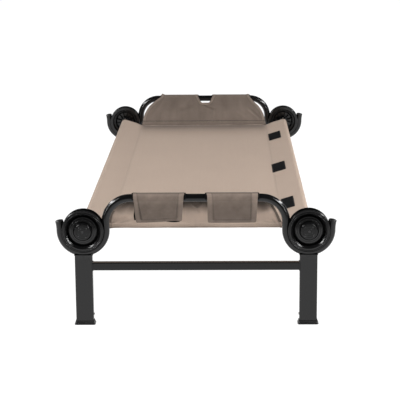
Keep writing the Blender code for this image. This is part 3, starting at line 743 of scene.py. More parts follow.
def leg_mesh():
    outer = rounded_rectangle(LEG_W, LEG_D, LEG_CORNER, 26, 9)
    inner = outer * [1 - 2 * LEG_WALL / LEG_W, 1 - 2 * LEG_WALL / LEG_D]
    heights = [0.0, 0.0006, 0.004, 0.012, 0.03, 0.06, 0.10, 0.14, 0.18, 0.20]
    verts = []
    for section, grow in ((outer, 1), (inner, -1)):
        rows = []
        for h in heights:
            rows.append([(x, y, LEG_BOTTOM + h) for x, y in section])
        rows.append([(x, y, min(LEG_TOP, under_tube(x, y) - 0.0002)) for x, y in section])
        verts.append(np.array(rows).reshape(-1, 3))
    rows, cols = len(heights) + 1, len(outer)
    side = grid_faces(rows, cols, wrap_cols=True)
    n = rows * cols
    k = np.arange(cols)
    l = (k + 1) % cols
    bottom = np.stack([l, k, k + n, l + n], 1)
    top = np.stack([k, l, l + n, k + n], 1) + (rows - 1) * cols
    faces = np.concatenate([side, side[:, ::-1] + n, bottom, top])
    obj = made_object("leg_shape", np.concatenate(verts), faces, [POWDER])
    right_way_out(obj)
    steady(obj)
    return cut_away(
        obj, rod("leg_hole", BUTTON_R + GAP, 0.012, (-LEG_W / 2, 0.0, BUTTON_Z), (1, 0, 0), 40)
    )


def crossbar_mesh():
    reach = AXIS_X - LEG_W / 2 - GAP
    outer = rounded_rectangle(CROSSBAR_D, CROSSBAR_H, 0.0026, 4, 4)
    inner = outer * [1 - 2 * 0.0012 / CROSSBAR_D, 1 - 2 * 0.0012 / CROSSBAR_H]
    stations = np.concatenate([[-reach, -reach + 0.0006], np.linspace(-reach + 0.01, reach - 0.01, 24), [reach - 0.0006, reach]])
    parts = []
    for section in (outer, inner):
        parts.append(np.array([[(x, y, z) for y, z in section] for x in stations]).reshape(-1, 3))
    rows, cols = len(stations), len(outer)
    side = grid_faces(rows, cols, wrap_cols=True)
    n = rows * cols
    k = np.arange(cols)
    l = (k + 1) % cols
    first = np.stack([l, k, k + n, l + n], 1)
    last = np.stack([k, l, l + n, k + n], 1) + (rows - 1) * cols
    faces = np.concatenate([side, side[:, ::-1] + n, first, last])
    obj = made_object("crossbar_shape", np.concatenate(parts), faces, [BAR_POWDER])
    right_way_out(obj)
    return steady(obj)


def ripples(line, radius, pitch=0.0017, depth=0.16):
    line = np.asarray(line, float)
    run = np.concatenate([[0.0], np.cumsum(np.linalg.norm(np.diff(line, axis=0), axis=1))])
    wander = wobble(np.stack([run, run * 0, run * 0], 1), (400.0, 1, 1), 3.0)
    return 1.0 + depth * np.abs(np.sin(math.pi * run / pitch)) - depth / 2 + 0.08 * wander


def leg_weld():
    """The bead where the leg meets the tube, in the leg's own axes."""
    line = []
    for x, y in rounded_rectangle(LEG_W + 0.0006, LEG_D - 0.0012, LEG_CORNER, 60, 22, 10):
        z = min(LEG_TOP + 0.0006, under_tube(x, min(max(y, -0.0115), 0.0115)) + 0.0004)
        line.append((x, y, z))
    line = np.array(line)
    ahead, behind = np.roll(line, -1, 0), np.roll(line, 1, 0)
    line = line * 0.5 + (ahead + behind) * 0.25
    return tube("leg_weld_shape", line, 0.0017, 8, POWDER, ripple=ripples(line, 0.0017), closed=True, across=(0, 0, 1))


def bar_weld():
    """The bead round a crossbar's end, about local X."""
    line = [(0.0, y, z) for y, z in rounded_rectangle(CROSSBAR_D + 0.0008, CROSSBAR_H + 0.0008, 0.0030, 18, 18, 6)]
    return tube("bar_weld_shape", np.array(line), 0.0015, 8, POWDER, ripple=ripples(line, 0.0015), closed=True, across=(1, 0, 0))


def cap_mesh():
    """The flared floor cap, with its pocket for the leg."""
    def ring(width, depth, corner, z):
        return [(x, y, z) for x, y in rounded_rectangle(width, depth, corner, 14, 8, 6)]

    rings = [
        ring(0.0585, 0.0290, 0.0050, 0.0000),
        ring(0.0631, 0.0336, 0.0052, 0.0000),
        ring(0.0647, 0.0352, 0.0054, 0.0004),
        ring(0.0655, 0.0360, 0.0055, 0.0013),
        ring(0.0653, 0.0358, 0.0055, 0.0030),
        ring(0.0634, 0.0336, 0.0052, 0.0048),
        ring(0.0609, 0.0311, 0.0050, 0.0070),
        ring(0.0597, 0.0299, 0.0048, 0.0092),
        ring(0.0593, 0.0295, 0.0047, 0.0112),
        ring(0.0588, 0.0290, 0.0046, 0.0119),
        ring(0.0580, 0.0282, 0.0044, 0.0120),
        ring(0.0566, 0.0266, 0.0042, 0.0119),
        ring(0.0556, 0.0256, 0.0041, 0.0112),
        ring(0.0556, 0.0256, 0.0041, 0.0034),
        ring(0.0530, 0.0230, 0.0040, 0.0032),
    ]
    cols = len(rings[0])
    verts = [p for r in rings for p in r]
    faces = grid_faces(len(rings), cols, wrap_cols=True).tolist()
    verts.append((0.0, 0.0, 0.0032))
    verts.append((0.0, 0.0, 0.0))
    last = (len(rings) - 1) * cols
    for k in range(cols):
        l = (k + 1) % cols
        faces.append([last + k, last + l, len(verts) - 2])
        faces.append([l, k, len(verts) - 1])
    obj = made_object("cap_shape", verts, faces, [SOFT_PLASTIC])
    right_way_out(obj)
    return steady(obj)


def plug_mesh():
    stem = TUBE_R - TUBE_WALL - 0.0004
    profile = [
        (0.0, -0.014),
        (stem - 0.0012, -0.014, 0.0010),
        (stem, -0.0122, 0.0006),
        (stem, 0.0001, 0.0002),
        (TUBE_R - 0.0001, 0.0001, 0.0002),
        (TUBE_R + 0.0001, 0.0016, 0.0009),
        (TUBE_R * 0.90, 0.0033, 0.0040),
        (TUBE_R * 0.52, 0.0048, 0.0120),
        (0.0, 0.0054),
    ]
    return turned("plug_shape", soften(profile, 0.001, steps=5), 48, SOFT_PLASTIC)


def button_mesh():
    back = -(LEG_WALL + GAP)
    profile = [
        (0.0, back - 0.0012),
        (BUTTON_R + 0.0015, back - 0.0012, 0.0003),
        (BUTTON_R + 0.0015, back, 0.0003),
        (BUTTON_R, back, 0.0002),
        (BUTTON_R, BUTTON_PROUD - 0.0016, 0.0016),
        (BUTTON_R * 0.66, BUTTON_PROUD - 0.0003, 0.0030),
        (0.0, BUTTON_PROUD),
    ]
    return turned("button_shape", soften(profile, 0.0005, steps=5), 40, ZINC)


def leaf(name, line, thick, width, place):
    """A bent strip of spring steel along a line; place puts (first, second, across) in the shared frame."""
    line = np.array(line, float)
    way = np.gradient(line, axis=0)
    way /= np.linalg.norm(way, axis=1)[:, None]
    side = np.stack([-way[:, 1], way[:, 0]], 1) * thick / 2
    verts, count = [], 8
    for p, n in zip(line, side):
        for off, across in ((1, -1), (1, -0.94), (1, 0.94), (1, 1), (-1, 1), (-1, 0.94), (-1, -0.94), (-1, -1)):
            thin = 0.72 if abs(across) == 1 else 1.0
            verts.append(place(p[0] + n[0] * off * thin, p[1] + n[1] * off * thin, across * width / 2))
    last = (len(line) - 1) * count
    faces = [(i * count + k, i * count + (k + 1) % count, (i + 1) * count + (k + 1) % count, (i + 1) * count + k) for i in range(len(line) - 1) for k in range(count)]
    faces += [tuple(range(count))[::-1], tuple(last + k for k in range(count))]
    obj = made_object(name, verts, faces, [ZINC])
    right_way_out(obj)
    return obj


leg_shape, bar_shape, cap_shape = leg_mesh(), crossbar_mesh(), cap_mesh()
plug_shape, button_shape = plug_mesh(), button_mesh()
leg_weld_shape, bar_weld_shape = leg_weld(), bar_weld()

for end, way in zip(ENDS, (-1, 1)):
    turn = Matrix.Rotation(math.pi if way > 0 else 0.0, 4, "Z")
    stand = Matrix.Translation((0.0, way * END_Y, 0.0))
    line = bow_points(way * END_Y)
    bow = tube(f"{end}_bent_tube", line, TUBE_R, 48, POWDER, wall=TUBE_WALL)
    carries(bow, "frames", "powder_steel", f"{end}_bow_tube")
    bar = placed(f"{end}_lower_crossbar", bar_shape, stand @ Matrix.Translation((0, 0, CROSSBAR_Z)))
    carries(bar, "frames", "powder_steel", f"{end}_crossbar")
    for side, sign in (("left", -1), ("right", 1)):
        foot = stand @ Matrix.Translation((sign * AXIS_X, 0.0, 0.0))
        facing = foot @ Matrix.Rotation(math.pi if sign < 0 else 0.0, 4, "Z")
        carries(placed(f"{end}_leg_tube_{side}", leg_shape, facing), "frames", "powder_steel", f"{end}_leg_{side}")
        carries(placed(f"{end}_leg_weld_{side}", leg_weld_shape, facing), "frames", "powder_steel")
        at_bar = stand @ Matrix.Translation((sign * (AXIS_X - LEG_W / 2 - 0.0006), 0.0, CROSSBAR_Z))
        carries(placed(f"{end}_crossbar_weld_{side}", bar_weld_shape, at_bar), "frames", "powder_steel")
        carries(placed(f"{end}_foot_cap_{side}", cap_shape, foot), "frames", "moulded_plastic", f"{end}_floor_cap_{side}")
        tip, before = (Vector(line[0]), Vector(line[1])) if sign < 0 else (Vector(line[-1]), Vector(line[-2]))
        lean = Vector((0, 0, 1)).rotation_difference((tip - before).normalized()).to_matrix().to_4x4()
        plug = placed(f"{end}_tube_plug_{side}", plug_shape, Matrix.Translation(tip) @ lean)
        carries(plug, "frames", "moulded_plastic", f"{end}_tip_plug_{side}")
        press = (
            stand
            @ Matrix.Translation((sign * (AXIS_X - LEG_W / 2), 0.0, BUTTON_Z))
            @ Matrix.Rotation(-sign * math.pi / 2, 4, "Y")
        )
        pin = placed(f"{end}_spring_button_{side}", button_shape, press)
        carries(pin, f"{end}_button_body_{side}", "zinc_steel", f"{end}_leg_button_{side}")
        # The button's leaf spring: one arm lies on the leg, the other against the button.
        near = LEG_W / 2 - LEG_WALL - GAP - 0.0018
        far = -(LEG_W / 2 - LEG_WALL - 0.0008)
        middle = (near + far) / 2
        bends = [(near, z) for z in np.linspace(0.022, 0.042, 9)]
        crown = degrees_arc(middle, 0.070, (near - far) / 2 * 0.55, 20, 160, 6)
        bends += [(near + (crown[0][0] - near) * t, 0.042 + (crown[0][1] - 0.042) * t) for t in (0.25, 0.5, 0.75)] + crown
        bends += [(crown[-1][0] + (far - crown[-1][0]) * t, crown[-1][1] + (0.042 - crown[-1][1]) * t) for t in (0.25, 0.5, 0.75)]
        bends += [(far, z) for z in np.linspace(0.042, 0.022, 9)]
        spring = leaf(
            f"{end}_leg_leaf_{side}", bends, 0.0007, 0.012, lambda a, b, c: (sign * (AXIS_X - a), way * END_Y + c, b)
        )
        rest, moving = (sign * (AXIS_X - far - 0.0010), way * END_Y, 0.03), (sign * (AXIS_X - near + 0.0010), way * END_Y, 0.03)
        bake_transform(spring)
        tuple(rest)
        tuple(moving)
        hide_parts(f"{end}_leg_spring_{side}")
for shape in (leg_shape, bar_shape, cap_shape, plug_shape, button_shape, leg_weld_shape, bar_weld_shape):
    discard(shape)


# ------------------------------------------------------- rails and discs
def disc_mesh():
    profile = [
        (RAIL_R + GAP, 0.0117, 0.0003),
        (0.0300, 0.0117, 0.0005),
        (0.0303, 0.0148, 0.0004),
        (0.0345, 0.0140, 0.0006),
        (0.0351, 0.0131, 0.0004),
        (0.0359, 0.0131, 0.0004),
        (0.0365, 0.0134, 0.0005),
        (0.0404, 0.0119, 0.0006),
        (0.0410, 0.0110, 0.0004),
        (0.0419, 0.0112, 0.0005),
        (0.0449, 0.0094, 0.0010),
        (0.0456, -0.0020, 0.0008),
        (0.0470, -0.0034, 0.0008),
        (0.0487, 0.0104, 0.0014),
        (0.0501, 0.0146, 0.0010),
        (0.0549, DISC_HALF - 0.0018, 0.0010),
        (0.0558, DISC_HALF, 0.0008),
        (0.0572, DISC_HALF - 0.0001, 0.0008),
        (0.0579, DISC_HALF - 0.0014, 0.0006),
        (0.0614, DISC_HALF - 0.0018, 0.0007),
        (0.0624, DISC_HALF - 0.0003, 0.0007),
        (DISC_R - 0.0009, DISC_HALF - 0.0003, 0.0010),
        (DISC_R, DISC_HALF - 0.0026, 0.0010),
        (DISC_R, GROOVE_HALF + 0.0002, 0.0007),
        (GROOVE_R + 0.0012, GROOVE_HALF, 0.0010),
        (GROOVE_R, GROOVE_HALF - 0.0014, 0.0012),
        (GROOVE_R, -GROOVE_HALF + 0.0014, 0.0012),
        (GROOVE_R + 0.0012, -GROOVE_HALF, 0.0010),
        (DISC_R, -GROOVE_HALF - 0.0002, 0.0007),
        (DISC_R, -DISC_HALF + 0.0022, 0.0009),
        (DISC_R - 0.0012, -DISC_HALF, 0.0009),
        (BOWL_R + 0.0004, -DISC_HALF, 0.0008),
        (0.0510, -0.0086, 0.0012),
        (0.0465, -0.0066, 0.0030),
        (0.0425, -0.0078, 0.0010),
        (0.0400, 0.0060, 0.0010),
        (0.0370, 0.0085, 0.0010),
        (BOSS_R + 0.0016, 0.0085, 0.0014),
        (BOSS_R, BOSS_END + 0.0002, 0.0010),
        (RAIL_R + GAP, BOSS_END, 0.0004),
    ]
    disc = turned("disc_shape", soften(profile, 0.0008, closed=True, steps=4), 120, PLASTIC, closed=True)
    ribs = []
    for k in range(12):
        bm = bmesh.new()
        bmesh.ops.create_cube(bm, size=1.0)
        for v in bm.verts:
            out = v.co.x > 0
            r = 0.0425 if out else BOSS_R + 0.0004
            low = -0.0048 if out else -0.0130
            high = 0.0080 if out else 0.0090
            z = high if v.co.z > 0 else low
            if out and v.co.z < 0:
                r = 0.0430
            thick = 0.0011 if v.co.z > 0 else 0.0008
            v.co = Vector((r, v.co.y * 2 * thick, z))
        bmesh.ops.bevel(
            bm, geom=[e for e in bm.edges if all(v.co.z < -0.01 for v in e.verts)], offset=0.0004, segments=2, affect="EDGES"
        )
        bmesh.ops.rotate(bm, verts=bm.verts, cent=(0, 0, 0), matrix=Matrix.Rotation(math.tau * (k + 0.5) / 12, 3, "Z"))
        mesh = bpy.data.meshes.new(f"rib_{k}")
        bm.to_mesh(mesh)
        bm.free()
        rib = bpy.data.objects.new(f"rib_{k}", mesh)
        bpy.context.scene.collection.objects.link(rib)
        right_way_out(rib)
        ribs.append(rib)
    cut_away(disc, *ribs, union=True)
    return cut_away(disc, rod("rivet_hole", 0.0023, 0.060, (0, 0, RIVET_A), (0, 1, 0), 24))


def hub_mesh():
    stem = RAIL_R - 0.0004
    profile = [
        (0.0, 0.0062),
        (stem - 0.0004, 0.0062, 0.0004),
        (stem, 0.0075, 0.0004),
        (stem, 0.0121, 0.0002),
        (HUB_R - 0.0003, 0.0121, 0.0003),
        (HUB_R, 0.0128, 0.0006),
        (HUB_R + 0.0008, 0.0150, 0.0010),
        (HUB_R + 0.0008, 0.0218, 0.0024),
        (0.0250, HUB_FACE - 0.0004, 0.0026),
        (0.0190, HUB_FACE - 0.0001, 0.0010),
        (0.0186, HUB_FACE - 0.0005, 0.0003),
        (0.0181, HUB_FACE - 0.0005, 0.0003),
        (0.0177, HUB_FACE - 0.0001, 0.0006),
        (0.0124, HUB_FACE, 0.0010),
        (0.0120, HUB_FACE - 0.0003, 0.0003),
        (0.0115, HUB_FACE - 0.0003, 0.0003),
        (0.0111, HUB_FACE, 0.0006),
        (0.0042, HUB_FACE, 0.0003),
        (0.0040, HUB_FACE - 0.0010, 0.0003),
        (0.0, HUB_FACE - 0.0010),
    ]
    return turned("hub_shape", soften(profile, 0.0005, steps=5), 96, HUB_PLASTIC)


def gate_mark_mesh():
    """The dull round mark where the hub was filled in its mould; its light grey is a painted highlight."""
    profile = [
        (0.0, HUB_FACE - 0.0009),
        (0.0036, HUB_FACE - 0.0009, 0.0001),
        (0.0037, HUB_FACE - 0.0002, 0.0002),
        (0.0026, HUB_FACE + 0.0004, 0.0008),
        (0.0008, HUB_FACE + 0.0002, 0.0004),
        (0.0, HUB_FACE + 0.0001),
    ]
    return turned("gate_mark_shape", soften(profile, 0.0002, steps=4), 40, HUB_CENTRE_HIGHLIGHT)


def rivet_mesh():
    reach = BOSS_R + 0.0010
    profile = [
        (0.0, reach + 0.0014),
        (0.0022, reach + 0.0012, 0.0020),
        (0.0038, reach + 0.0002, 0.0004),
        (0.0037, reach, 0.0001),
        (0.0020, reach, 0.0001),
        (0.0020, -reach, 0.0001),
        (0.0037, -reach, 0.0001),
        (0.0038, -reach - 0.0002, 0.0004),
        (0.0022, -reach - 0.0012, 0.0020),
        (0.0, -reach - 0.0014),
    ]
    return turned("rivet_shape", soften(profile, 0.0004, steps=4), 32, ZINC)


def rail_meshes():
    """Both halves of a rail, about the rail's own axis, lying along Y."""
    inside, bore = RAIL_R - RAIL_WALL, INSERT_R - RAIL_WALL
    foot = turned(
        "rail_foot_shape",
        soften(
            [
                (inside, -RAIL_END, 0.0002),
                (RAIL_R, -RAIL_END, 0.0004),
                (RAIL_R, JOINT_Y - GAP, 0.0005),
                (inside, JOINT_Y - GAP, 0.0002),
            ],
            0.0003,
            closed=True,
            steps=3,
        ),
        40,
        RAIL_COAT,
        closed=True,
    )
    head = turned(
        "rail_head_shape",
        soften(
            [
                (bore, JOINT_Y - INSERT_LENGTH, 0.0002),
                (INSERT_R - 0.0006, JOINT_Y - INSERT_LENGTH, 0.0004),
                (INSERT_R, JOINT_Y - INSERT_LENGTH + 0.002, 0.0010),
                (INSERT_R, JOINT_Y, 0.0003),
                (RAIL_R, JOINT_Y + 0.0006, 0.0004),
                (RAIL_R, RAIL_END, 0.0004),
                (inside, RAIL_END, 0.0002),
                (inside, JOINT_Y + 0.005, 0.0005),
                (bore, JOINT_Y + 0.001, 0.0005),
            ],
            0.0003,
            closed=True,
            steps=3,
        ),
        40,
        RAIL_COAT,
        closed=True,
    )
    lay = Matrix.Rotation(-math.pi / 2, 4, "X")
    for part, way in ((foot, -1), (head, 1)):
        part.data.transform(lay)
        cut_away(
            part,
            rod("snap_hole", SNAP_R + GAP, 0.012, (0, 0, -0.0100), (0, 0, 1), 24),
            rod("rail_rivet_hole", 0.0023, 0.060, (0, way * (END_Y + RIVET_A), 0), (0, 0, 1), 24),
        )
    return foot, head


disc_shape, hub_shape, rivet_shape = disc_mesh(), hub_mesh(), rivet_mesh()
mark_shape = gate_mark_mesh()
rail_foot_shape, rail_head_shape = rail_meshes()
for side, sign in (("left", -1), ("right", 1)):
    body = f"rail_{side}"
    axis = Matrix.Translation((sign * AXIS_X, 0.0, AXIS_Z))
    carries(placed(f"rail_tube_{side}_foot", rail_foot_shape, axis), body, "rail_steel", f"rail_{side}_foot")
    carries(placed(f"rail_tube_{side}_head", rail_head_shape, axis), body, "rail_steel", f"rail_{side}_head")
    # The snap button's leaf spring lies folded along the insert.
    bends = [(a, 0.0055) for a in np.linspace(-0.008, 0.008, 9)] + [(0.0117, 0.00485), (0.0154, 0.00415), (0.019, 0.0035)]
    bends += degrees_arc(0.0215, -0.0010, 0.0030, 60, -60, 8)
    bends += [(0.0190, -0.0050), (0.0147, -0.0056), (0.0103, -0.0062), (0.006, -0.0068)] + [(a, -0.0068) for a in np.linspace(0.004, -0.008, 7)]
    spring = leaf(f"rail_{side}_snap_leaf", bends, 0.0005, 0.0056, lambda a, b, c: (sign * AXIS_X + c, a, AXIS_Z - b))
    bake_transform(spring)
    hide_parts(f"rail_{side}_snap_spring")
    for end, way in (("foot", -1), ("head", 1)):
        spot = axis @ Matrix.Translation((0.0, way * END_Y, 0.0)) @ Matrix.Rotation(-way * math.pi / 2, 4, "X")
        carries(placed(f"cradle_disc_{end}_{side}", disc_shape, spot), body, "moulded_plastic", f"disc_{end}_{side}")
        carries(placed(f"disc_hub_{end}_{side}", hub_shape, spot), body, "moulded_plastic", f"hub_cap_{end}_{side}")
        carries(placed(f"hub_mark_{end}_{side}", mark_shape, spot), body, "moulded_plastic")
        pin = axis @ Matrix.Translation((0.0, way * (END_Y + RIVET_A), 0.0))
        carries(placed(f"boss_rivet_{end}_{side}", rivet_shape, pin), body, "zinc_steel", f"rivet_{end}_{side}")
for shape in (disc_shape, hub_shape, mark_shape, rivet_shape, rail_foot_shape, rail_head_shape):
    discard(shape)


# ---------------------------------------------------------------- the deck
TOP_X = AXIS_X - SLEEVE_R * math.sin(SLOPE)
TOP_Z = AXIS_Z + SLEEVE_R * math.cos(SLOPE)


def slope_z(x):
    return TOP_Z - (TOP_X - x) * math.tan(SLOPE)


SEAM_Z = slope_z(SEAM_X)


def sag_z(x):
    return DECK_MID_Z + (SEAM_Z - DECK_MID_Z) * (x / SEAM_X) ** 2


def tangent_from(point, centre, radius, side):
    dx, dz = centre[0] - point[0], centre[1] - point[1]
    reach = math.hypot(dx, dz)
    heading = math.atan2(dz, dx) + side * math.asin(radius / reach)
    return math.degrees(heading + side * math.pi / 2)


def half_section():
    """(x, z, kind) from the middle to the lap's edge: 0 deck, 1 slope, 2 round the rail, 3 under, 4 lap."""
    out = [(x, sag_z(x), 0) for x in np.linspace(0.0, SEAM_X - 0.012, 33)]
    out += [(x, sag_z(x), 0) for x in SEAM_X - np.array([0.009, 0.006, 0.0038, 0.0020, 0.0008])]
    out += [(x, slope_z(x), 1) for x in SEAM_X + np.array([0.0008, 0.0020, 0.0038, 0.006, 0.009])]
    out += [(x, slope_z(x), 1) for x in np.linspace(SEAM_X + 0.0125, TOP_X - 0.002, 19)]
    lap_x = SEAM_X + 0.0010
    lap = (lap_x, slope_z(lap_x) - 0.0014)
    foot = tangent_from(lap, (AXIS_X, AXIS_Z), SLEEVE_R, -1)
    while foot > 0:
        foot -= 360
    for a in np.linspace(107.0, foot, 22):
        a = math.radians(a)
        out.append((AXIS_X + SLEEVE_R * math.cos(a), AXIS_Z + SLEEVE_R * math.sin(a), 2))
    last = out[-1]
    for t in np.linspace(0.0, 1.0, 11)[1:]:
        out.append((last[0] + (lap[0] - last[0]) * t, last[1] + (lap[1] - last[1]) * t, 3))
    for x in (SEAM_X - 0.0020, SEAM_X - 0.0055, SEAM_X - 0.0085, SEAM_X - 0.0095):
        out.append((x, sag_z(x) - 0.0014, 4))
    return out


def deck_piece():
    half = half_section()
    xz = np.array([(x, z) for x, z, _ in half])
    kind = np.array([k for *_, k in half])
    run = np.concatenate([[0.0], np.cumsum(np.linalg.norm(np.diff(xz, axis=0), axis=1))])
    x = np.concatenate([-xz[:0:-1, 0], xz[:, 0]])
    z = np.concatenate([xz[:0:-1, 1], xz[:, 1]])
    u = np.concatenate([-run[:0:-1], run])
    kind = np.concatenate([kind[:0:-1], kind])
    near = np.array([0.0, 0.0012, 0.005, 0.010, 0.0118, 0.0126, 0.0138, 0.018, 0.024, 0.032, 0.042, 0.054, 0.068, 0.084])
    ends = 1.0 - near / 0.92
    shares = np.concatenate([-ends, np.linspace(-ends[-1], ends[-1], 128)[1:-1], ends[::-1]])
    rows, cols = len(shares), len(x)
    reach = DECK_END + 0.0020 + (SLEEVE_END - DECK_END - 0.0020) * smoothstep(0.264, 0.290, np.abs(x))
    # The sleeve's mouth is cut back round the rail's outer side.
    climb = np.degrees(np.arctan2(np.abs(z) - AXIS_Z, np.abs(x) - AXIS_X))
    back = 0.012 * smoothstep(95.0, -10.0, climb)
    reach = reach - np.where(kind == 2, back, np.where(kind == 3, 0.012 * smoothstep(0.290, 0.335, np.abs(x)), 0.0))
    y = shares[:, None] * reach[None]
    xs = np.broadcast_to(x, (rows, cols)).copy()
    us = np.broadcast_to(u, (rows, cols)).copy()
    zs = np.broadcast_to(z, (rows, cols)).copy()
    upper = np.broadcast_to(kind <= 1, (rows, cols))
    lift = smoothstep(0.640, DECK_END, np.abs(y)) * (1 - smoothstep(0.262, 0.300, np.abs(xs)))
    zs = np.where(upper | (kind == 4)[None], zs + (DECK_END_Z - 0.0002 + np.where(kind == 4, -0.0014, 0.0)[None] - zs) * lift * (np.abs(xs) < SEAM_X + 0.02), zs)
    verts = np.stack([xs, y, zs], 2).reshape(-1, 3)
    faces = grid_faces(rows, cols)
    normal = normals_of(verts, faces)
    if normal[(rows // 2) * cols + cols // 2][2] < 0:
        faces = faces[:, ::-1]
        normal = -normal
    flat_x, flat_y, flat_u = xs.ravel(), y.ravel(), us.ravel()
    side = np.sign(flat_x)
    ax, ay = np.abs(flat_x), np.abs(flat_y)
    kinds = np.broadcast_to(kind, (rows, cols)).ravel()
    points = np.stack([flat_x, flat_y, side * 3.0], 1)
    # Slack cloth: broad swells, then soft pulls across the ends and into the corners.
    swell = 0.0011 * wobble(points, (5.5, 2.2, 1.0), 4.0) + 0.0004 * wobble(points, (16.0, 7.0, 1.0), 9.0)
    open_deck = smoothstep(0.0, 0.05, SEAM_X - ax) * smoothstep(0.0, 0.05, DECK_END - ay)
    move = swell * open_deck * (kinds == 0)
    pull = wobble(points, (11.0, 34.0, 1.0), 15.0)
    near_seam = np.exp(-np.maximum(SEAM_X - ax, 0.0) / 0.030) * (kinds == 0)
    move += 0.00045 * pull * near_seam * smoothstep(0.0, 0.006, SEAM_X - ax)
    on_slope = (kinds == 1) * smoothstep(0.0, 0.010, ax - SEAM_X) * smoothstep(0.0, 0.012, TOP_X - ax)
    move += 0.0009 * wobble(points, (9.0, 13.0, 1.0), 21.0) * on_slope
    for angle, size, width, seed in ((0.55, 0.0013, 0.010, 1.0), (0.95, 0.0010, 0.014, 2.0), (0.28, 0.0009, 0.012, 3.0)):
        for corner_y in (-1, 1):
            dx, dy = 0.262 - ax, 0.900 - flat_y * corner_y
            cross = dx * math.cos(angle) - dy * math.sin(angle)
            along = dx * math.sin(angle) + dy * math.cos(angle)
            lean = 0.8 + 0.2 * side * corner_y
            move += size * lean * bell(cross, width) * smoothstep(0.0, 0.05, along) * (1 - smoothstep(0.10, 0.26, along)) * open_deck
    across_end = bell(ay - 0.872, 0.013) - 0.6 * bell(ay - 0.845, 0.018)
    move += 0.0010 * across_end * (kinds == 0) * smoothstep(0.0, 0.07, SEAM_X - ax) * (0.6 + 0.6 * wobble(points, (7.0, 0.1, 1.0), 31.0))
    puff = (kinds == 2) | (kinds == 3)
    move += 0.00045 * wobble(points, (30.0, 16.0, 1.0), 40.0) * puff * smoothstep(0.0, 0.02, SLEEVE_END - ay)
    verts = verts + normal * move[:, None]
    # Doubled cloth: the sleeve's end hem, the seam's ridge and its sunk stitch rows.
    limit = np.where(kinds >= 1, np.broadcast_to(reach, (rows, cols)).ravel(), 9.0)
    from_end = limit - ay
    hem = np.where(kinds >= 1, 1 - smoothstep(0.0116, 0.0128, from_end), 0.0)
    over = 0.00045 + 0.00040 * hem - 0.00025 * bell(from_end - 0.0122, 0.0008) * (kinds >= 1)
    from_seam = (ax - SEAM_X) * (kinds <= 1) + 9.0 * (kinds > 1)
    over += 0.00016 * bell(from_seam + 0.0005, 0.0034) - 0.00016 * (bell(from_seam - 0.0020, 0.0009) + bell(from_seam + 0.0038, 0.0009))
    uv = np.stack([flat_u, flat_y], 1)
    # Painted shadow of the end panels on the deck near each end, deeper at the head, not over the sleeves.
    to_end = np.maximum(DECK_END - ay, 0.0)
    end_panel_shadow = np.where(flat_y > 0, 0.68, 0.26) * np.exp(-((to_end / np.where(flat_y > 0, 0.124, 0.118)) ** 1.5)) + 0.03 * np.exp(-to_end / 0.3)
    tone = 1.0 - end_panel_shadow * (1 - smoothstep(SEAM_X - 0.02, SEAM_X + 0.02, ax))
    # Darker along the sleeve seam's ridge and stitch rows: some soiling, and painted shade in the grooves.
    seam_soil_and_shade = bell(from_seam + 0.0002, 0.0013) + 0.35 * bell(from_seam - 0.0020, 0.0007) + 0.35 * bell(from_seam + 0.0038, 0.0007)
    tone *= 1.0 - 0.09 * np.clip(seam_soil_and_shade, 0.0, 1.0)
    # The sleeve's end hem a little lighter, with a painted shade line along its inner edge.
    tone *= 1.0 + 0.06 * hem * (kinds >= 1) - 0.22 * bell(from_end - 0.0122, 0.0009) * (kinds >= 1)
    # Painted light on the sleeves' outer sides round the rails, and more over the right sleeve's top.
    tone *= 1.0 + 0.10 * smoothstep(35.0, -5.0, np.degrees(np.arctan2(verts[:, 2] - AXIS_Z, ax - AXIS_X))) * (kinds == 2)
    round_rail = np.degrees(np.arctan2(verts[:, 2] - AXIS_Z, ax - AXIS_X))
    tone *= 1.0 + 0.15 * smoothstep(105.0, 70.0, round_rail) * (kinds == 2) * (side > 0)
    piece = cloth_piece("deck_cloth", verts, faces, uv, over, 0.00045, [DECK, DECK_UNDER], tone=tone)
    grid = verts.reshape(rows, cols, 3)
    out = normals_of(verts, faces).reshape(rows, cols, 3)
    thick = over.reshape(rows, cols)
    return piece, grid, out, thick, x, kind


deck, deck_grid, deck_out, deck_thick, deck_x, deck_kind = deck_piece()
carries(deck, "deck", "deck_cloth", "deck")


def deck_row(x_at, first=0, last=None):
    """A line along the bed on the deck's upper face, at this x."""
    order = [j for j in range(len(deck_x)) if deck_kind[j] <= 1]
    order.sort(key=lambda j: deck_x[j])
    xs = deck_x[order]
    k = int(np.clip(np.searchsorted(xs, x_at), 1, len(xs) - 1))
    a, b = order[k - 1], order[k]
    t = (x_at - deck_x[a]) / (deck_x[b] - deck_x[a])
    rows = slice(first, last)
    surface = deck_grid + deck_out * deck_thick[..., None]
    points = surface[rows, a] * (1 - t) + surface[rows, b] * t
    normals = deck_out[rows, a] * (1 - t) + deck_out[rows, b] * t
    return points, normals


for side, sign in (("left", -1), ("right", 1)):
    rows = [deck_row(sign * (SEAM_X + 0.0020), 3, -3), deck_row(sign * (SEAM_X - 0.0038), 3, -3)]
    seam = stitches(f"sleeve_stitching_{side}", rows, THREAD)
    carries(seam, "deck", "deck_cloth")
hems = []
for row in (5, -6):
    for pick in (deck_kind >= 1) & (deck_x > 0), (deck_kind >= 1) & (deck_x < 0):
        columns = [j for j in range(len(deck_x)) if pick[j] and deck_kind[j] <= 3]
        surface = deck_grid[row, columns] + deck_out[row, columns] * deck_thick[row, columns][:, None]
        hems.append((surface, deck_out[row, columns]))
carries(stitches("sleeve_end_stitching", hems, THREAD), "deck", "deck_cloth")


